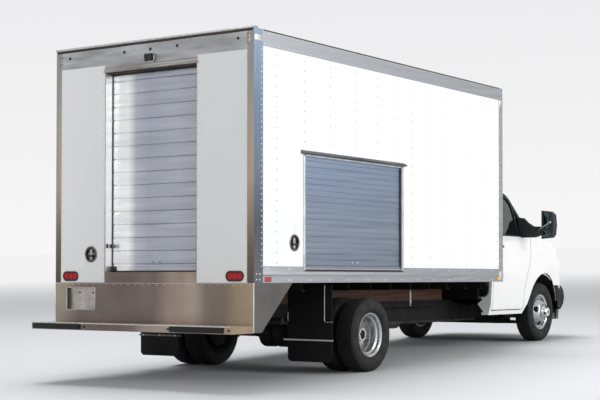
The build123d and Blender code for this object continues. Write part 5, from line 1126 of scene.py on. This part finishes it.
def cab_body():
    """Cab shell, doors, bonnet, fenders and bumper from the solids, edges rounded."""
    sill = 0.98
    from_node("cab_panels", "cab_shell", white_enamel, width=0.003, regions=(
        (steel_paint, lambda at, to: (at[:, 2] < sill) & (at[:, 0] < 3.03) & (to[:, 0] < -0.9)),
        (steel_paint, lambda at, to: (at[:, 2] < sill) & (at[:, 0] < 3.01) & (np.abs(at[:, 1]) < 0.875)),
        (steel_paint, lambda at, to: (at[:, 2] < sill) & (to[:, 2] < -0.9) & (np.abs(at[:, 1]) < 0.85))),
        cuts=(((0, 0, sill), (0, 0, 1)),))
    from_node("bonnet", "hood", white_enamel, body="hood", width=0.003)
    from_node("fender_panels", "fenders", white_enamel, width=0.003, regions=((steel_paint, in_arch),))
    from_node("bumper_and_dam", "front_bumper", bumper_plastic, width=0.004, regions=(
        (grey_plastic, lambda at, to: at[:, 2] < 0.53),))
    from_node("grille_bars", "grille", black_plastic, width=0.002)
    from_node("head_lamp_lenses", "headlamps", clear_lens, width=0.004)
    from_node("dash", "dashboard", grey_plastic, width=0.004)
    from_node("helm", "steering_wheel", black_plastic, body="steering_wheel", width=0.0015)
    for side, _ in SIDES:
        from_node("door_skin_" + side, "door_" + side, white_enamel, "door_" + side, 0.0025, regions=(
            (black_plastic, lambda at, to: at[:, 2] > BELT_Z + 0.001),),
            cuts=(((0, 0, BELT_Z + 0.0005), (0, 0, 1)),))
        from_node("mirror_shell_" + side, "mirror_" + side, black_plastic, "door_" + side, 0.005)


def bumper_wraps():
    """The bumper's ends, carried back to the wheel opening: at each height a line from
    the opening's edge forward, standing 5 mm off the fender and easing into the bar."""
    z = np.linspace(0.850, 0.560, 26)[:, None]
    start = np.interp(z, ARCH_FRONT[:, 1], ARCH_FRONT[:, 0]) + 0.006
    x = start + (5.12 - start) * np.linspace(0, 1, 30)[None, :]
    ease = np.clip((x - 4.95) / 0.16, 0, 1)
    draw = np.interp(z, BUMPER_DRAW[:, 0], BUMPER_DRAW[:, 1])
    crown = 0.010 * np.clip((z - 0.80) / 0.05, 0, 1) ** 2
    fender = np.maximum(cab_side_y(z) + 0.005, 1.0075 - crown)
    full = np.interp(x, BUMPER_PLAN[:, 0], BUMPER_PLAN[:, 1])
    y = (1 - ease) * np.minimum(fender, full) + ease * (full - draw + 0.002)
    skin = laid("y", y, x, z)
    shell = np.concatenate([skin, skin[::-1] - (0, 0.012, 0)])
    for side, hand in SIDES:
        faces = weave(len(shell), x.shape[1], close_rows=True)
        piece("bumper_wrap_" + side, [(shell * (1, hand, 1), faces)], bumper_plastic)


def window_trim():
    """Rubber round each door glass, a quarter-light bar, and the belt moulding."""
    for side, hand in SIDES:
        parts = [side_bar(spaced(WINDOW, closed=True), hand, 0.004, 0.009),
                 side_bar(spaced(((3.845, 1.475), (3.800, 1.835))), hand, 0.006, 0.010),
                 side_bar(spaced(((3.120, 1.462), (4.125, 1.462))), hand, 0.001, 0.006)]
        piece("window_rubber_" + side, parts, pad_rubber, "door_" + side)


def door_fittings():
    """A pull handle in its cup and a lock on each door, and a seal round its open edge."""
    x, z = HANDLE
    cup = ((-0.002, 0.0), (-0.002, 0.030), (0.0015, 0.034), (0.0025, 0.040), (0.0, 0.043))
    lock = ((-0.001, 0.012), (0.002, 0.011), (0.003, 0.0))
    for side, hand in SIDES:
        body = "door_" + side
        y = hand * cab_side_y(z)
        piece("handle_cup_" + side, [turned_form(cup, (x + 0.045, y, z), 32, "y", hand)], black_plastic, body)
        grip = [facing(stadium(0.105, 0.0155), (x, y, z), "y", hand,
                       ((0.016, 0.86), (0.020, 1.0), (0.028, 1.0), (0.033, 0.84)))]
        grip += [facing(stadium(0.018, 0.012), (x + step, y, z), "y", hand, ((-0.002, 1.1), (0.018, 0.9)))
                 for step in (-0.080, 0.080)]
        grip.append(turned_form(lock, (x + 0.005, y, z - 0.055), 20, "y", hand))
        piece("door_handle_" + side, grip, black_plastic, body)
        seal = side_bar(spaced(DOOR_EDGE), hand, 0.010, 0.0042, 8)
        piece("door_edge_seal_" + side, [seal], white_enamel, body)


def mirrors():
    """Two glasses in each head, the upper one D-shaped, with the bright brace across."""
    turn = np.linspace(-np.pi / 2, np.pi / 2, 20)
    curve = np.stack([0.062 * np.cos(turn), 0.098 * np.sin(turn)], 1)
    upper = np.vstack([curve, [(-0.038, 0.098), (-0.045, 0.088), (-0.045, -0.088), (-0.038, -0.098)]])
    for side, hand in SIDES:
        body = "door_" + side
        glass, frames = [], []
        for z, shape in ((1.652, upper), (1.488, rounded_box(0.052, 0.036, 0.014))):
            shape = shape * (hand, 1)
            glass.append(facing(shape, (MIRROR_X, hand * MIRROR_Y, z), "x", -1,
                                ((0.001, 1.0), (0.004, 1.0), (0.0045, 0.97))))
            loop = np.vstack([shape, shape[:1]]) * 1.03
            frames.append(pipe(laid("x", MIRROR_X - 0.003, *loop.T) + (0, hand * MIRROR_Y, z), 0.004, 8))
        piece("mirror_glasses_" + side, glass, mirror_glass, body)
        piece("mirror_rims_" + side, frames, black_plastic, body)
        foot = (3.838, hand * 1.400, 1.625)
        brace = spaced(((3.880, hand * 1.240, 1.535), (3.838, hand * 1.283, 1.558), foot))
        pad = soft_box((3.841, hand * 1.400, 1.625), (0.006, 0.016, 0.010), 0.5)
        piece("mirror_brace_" + side, [pipe(brace, 0.0055, 10), pad], bright_bar, body)


def wipers():
    """Two wipers on the windscreen, each a bent arm from its boss and a straight blade."""
    parts = []
    blade = np.array((0.0, 0.24, -0.03))
    for foot_y, tip_y in ((0.62, 0.10), (-0.05, -0.58)):
        foot, tip = np.array((4.262, foot_y, 1.475)), np.array((4.135, tip_y, 1.620))
        parts.append(pipe(bend([foot, foot + (-0.005, 0, 0.02), tip], 0.03), 0.006))
        parts.append(pipe([tip - blade, tip + blade], 0.005))
        parts.append(soft_box(foot, (0.02, 0.02, 0.016), 0.5))
    piece("wipers", parts, black_plastic)


def cushion(centre, half, crown, pinch, rows=26, columns=56):
    """A stuffed pad: a rounded block whose faces crown outward by a product of cosines,
    with sewn channels by a quicker cosine, and whose sides pull in between its corners."""
    grid, faces = soft_box((0, 0, 0), (1, 1, 1), 0.32, rows, columns)
    x, y, z = grid[..., 0], grid[..., 1], grid[..., 2]
    swell = crown * np.cos(0.5 * np.pi * x) * np.cos(0.5 * np.pi * y)
    channel = 0.10 * crown * np.cos(8 * np.pi * x) * (np.abs(z) > 0.5)
    z = z * (1 + swell + channel)
    shape = np.stack([x * (1 - pinch * (1 - y ** 2)), y * (1 - pinch * (1 - x ** 2)), z], -1)
    return shape * half + centre, faces


def seats():
    """Each seat is a sprung cushion, a back leaned ten degrees and a head pad on two
    stays, on a covered box."""
    lean = np.radians(100)
    axes = np.array([[np.cos(lean), 0, np.sin(lean)], [0, 1, 0], [-np.sin(lean), 0, np.cos(lean)]])
    bases = []
    for side, hand in SIDES:
        y = hand * SEAT_Y
        form = cushion((3.395, y, 0.992), (0.250, 0.245, 0.062), 0.18, 0.04)
        pad = piece("seat_cushion_" + side, [form], seat_cloth)
        points, faces = cushion((0, 0, 0), (0.335, 0.235, 0.066), 0.18, 0.05)
        back = piece("seat_back_" + side, [(points @ axes + (3.178, y, 1.405), faces)], seat_cloth)
        form = cushion((3.110, y, 1.835), (0.045, 0.125, 0.075), 0.12, 0.05)
        head = piece("head_pad_" + side, [form], seat_cloth)
        bases.append(strip((0.20, 0.20), 0.02, (3.400, y), "z", 0.713, 0.925, 40))
        bases += [pipe([(3.118, y + step, 1.70), (3.112, y + step, 1.79)], 0.006) for step in (-0.05, 0.05)]
    bases = piece("seat_boxes", bases, seat_vinyl, edge=0.004)
    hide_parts("seats")


for build_part in (tyres, box_panels, wall_rivets, rail_rivets, panel_rivets, roof_cap, corner_castings,
                   header_fittings, rear_curtain, side_doorway, latches, lamps, apron_and_step, step_tread,
                   flaps, chassis, wheel_fittings, cab_body, bumper_wraps, window_trim, door_fittings,
                   mirrors, wipers, seats):
    build_part()


# ---- stage, light and camera -------------------------------------------------------
# The surround's colour by the height that is looked at, and the distances from the truck
# between which the floor turns into it.
SKY = ((0.0, "#f7f7f7"), (0.2, "#ebebed"), (1.0, "#dfe1e4"))
FLOOR_NEAR = 6.0
FLOOR_FAR = 42.0
FLOOR_HALF = 150


def stage_floor():
    """A wide flat floor. Far from the truck it brightens until it meets the surround."""
    grid = lattice((-FLOOR_HALF, FLOOR_HALF), (-FLOOR_HALF, FLOOR_HALF), 0)
    mesh = bpy.data.meshes.new("floor")
    mesh.from_pydata(grid.tolist(), [], weave(2, 2).tolist())
    floor = bpy.data.objects.new("floor", mesh)
    bpy.context.scene.collection.objects.link(floor)
    pale = bpy.data.materials.new("pale_studio_floor")
    pale.use_nodes = True
    tree = pale.node_tree
    tree.nodes.clear()
    spot = add(tree, "ShaderNodeTexCoord").outputs["Object"]
    reach = add(tree, "ShaderNodeVectorMath", {0: spot}, operation="LENGTH").outputs["Value"]
    share = add(tree, "ShaderNodeMapRange", {"Value": reach, "From Min": FLOOR_NEAR, "From Max": FLOOR_FAR},
                interpolation_type="SMOOTHSTEP").outputs["Result"]
    near = add(tree, "ShaderNodeBsdfDiffuse", {"Color": linear("#d5d6d8")}).outputs["BSDF"]
    far = add(tree, "ShaderNodeEmission", {"Color": linear("#f3f3f4")}).outputs["Emission"]
    blend = add(tree, "ShaderNodeMixShader", {0: share, 1: near, 2: far}).outputs["Shader"]
    add(tree, "ShaderNodeOutputMaterial", {"Surface": blend})
    mesh.materials.append(pale)


def studio():
    """An even pale surround, dimmer as a light than as a background, with a large soft key
    on the truck's right side, a weaker one behind it and one above."""
    scene = bpy.context.scene
    scene.view_settings.view_transform = "Standard"
    world = bpy.data.worlds.new("studio")
    scene.world = world
    world.use_nodes = True
    tree = world.node_tree
    tree.nodes.clear()
    spot = add(tree, "ShaderNodeTexCoord").outputs["Generated"]
    soft = add(tree, "ShaderNodeLightPath").outputs["Is Diffuse Ray"]
    level = add(tree, "ShaderNodeMapRange", {"Value": soft, "To Min": 1.0, "To Max": 0.52}).outputs["Result"]
    back = add(tree, "ShaderNodeBackground", {"Color": banded(tree, spot, ("Z", SKY)), "Strength": level})
    add(tree, "ShaderNodeOutputWorld", {"Surface": back.outputs["Background"]})
    panels = (("side_key", (2.0, -14.0, 5.0), (0.5, -1.2, 2.0), 8.0, 1110.0),
              ("rear_fill", (-16.0, -5.0, 8.0), (-2.0, 0.0, 1.8), 9.0, 550.0),
              ("top_soft", (-0.5, 3.2, 16.0), (0.0, -0.5, 0.0), 9.0, 1900.0))
    for name, spot, aim, size, power in panels:
        light = bpy.data.lights.new(name, "AREA")
        light.size = size
        light.energy = power
        lamp = bpy.data.objects.new(name, light)
        lamp.location = spot
        lamp.rotation_euler = (Vector(aim) - Vector(spot)).to_track_quat("-Z", "Y").to_euler()
        scene.collection.objects.link(lamp)


# The camera: its focal length and upward shift in pixels of a render this wide, its place,
# and its heading, rise and roll in degrees.
RENDER_WIDE = 600
FOCAL = 1387 / RENDER_WIDE
SHIFT = 40 / RENDER_WIDE
SENSOR = 36
EYE = (-11.910, -8.569, 0.951)
HEADING = 34.69
PITCH = 1.54
ROLL = 0.03


def camera():
    """The camera behind the right rear corner, in the truck's own axes."""
    turn, rise, roll = np.radians((HEADING, PITCH, ROLL))
    look = np.array([np.cos(turn) * np.cos(rise), np.sin(turn) * np.cos(rise), np.sin(rise)])
    right = np.array([np.sin(turn), -np.cos(turn), 0])
    over = np.cross(right, look)
    right, over = right * np.cos(roll) + over * np.sin(roll), over * np.cos(roll) - right * np.sin(roll)
    axes = TURN @ np.stack([right, over, -look], 1)
    data = bpy.data.cameras.new("camera")
    data.sensor_width = SENSOR
    data.lens = FOCAL * SENSOR
    data.shift_y = SHIFT
    data.clip_end = 400
    view = bpy.data.objects.new("camera", data)
    view.matrix_world = Matrix.Translation(place(EYE).tolist()) @ Matrix(axes.tolist()).to_4x4()
    bpy.context.scene.collection.objects.link(view)
    bpy.context.scene.camera = view


stage_floor()
studio()
camera()
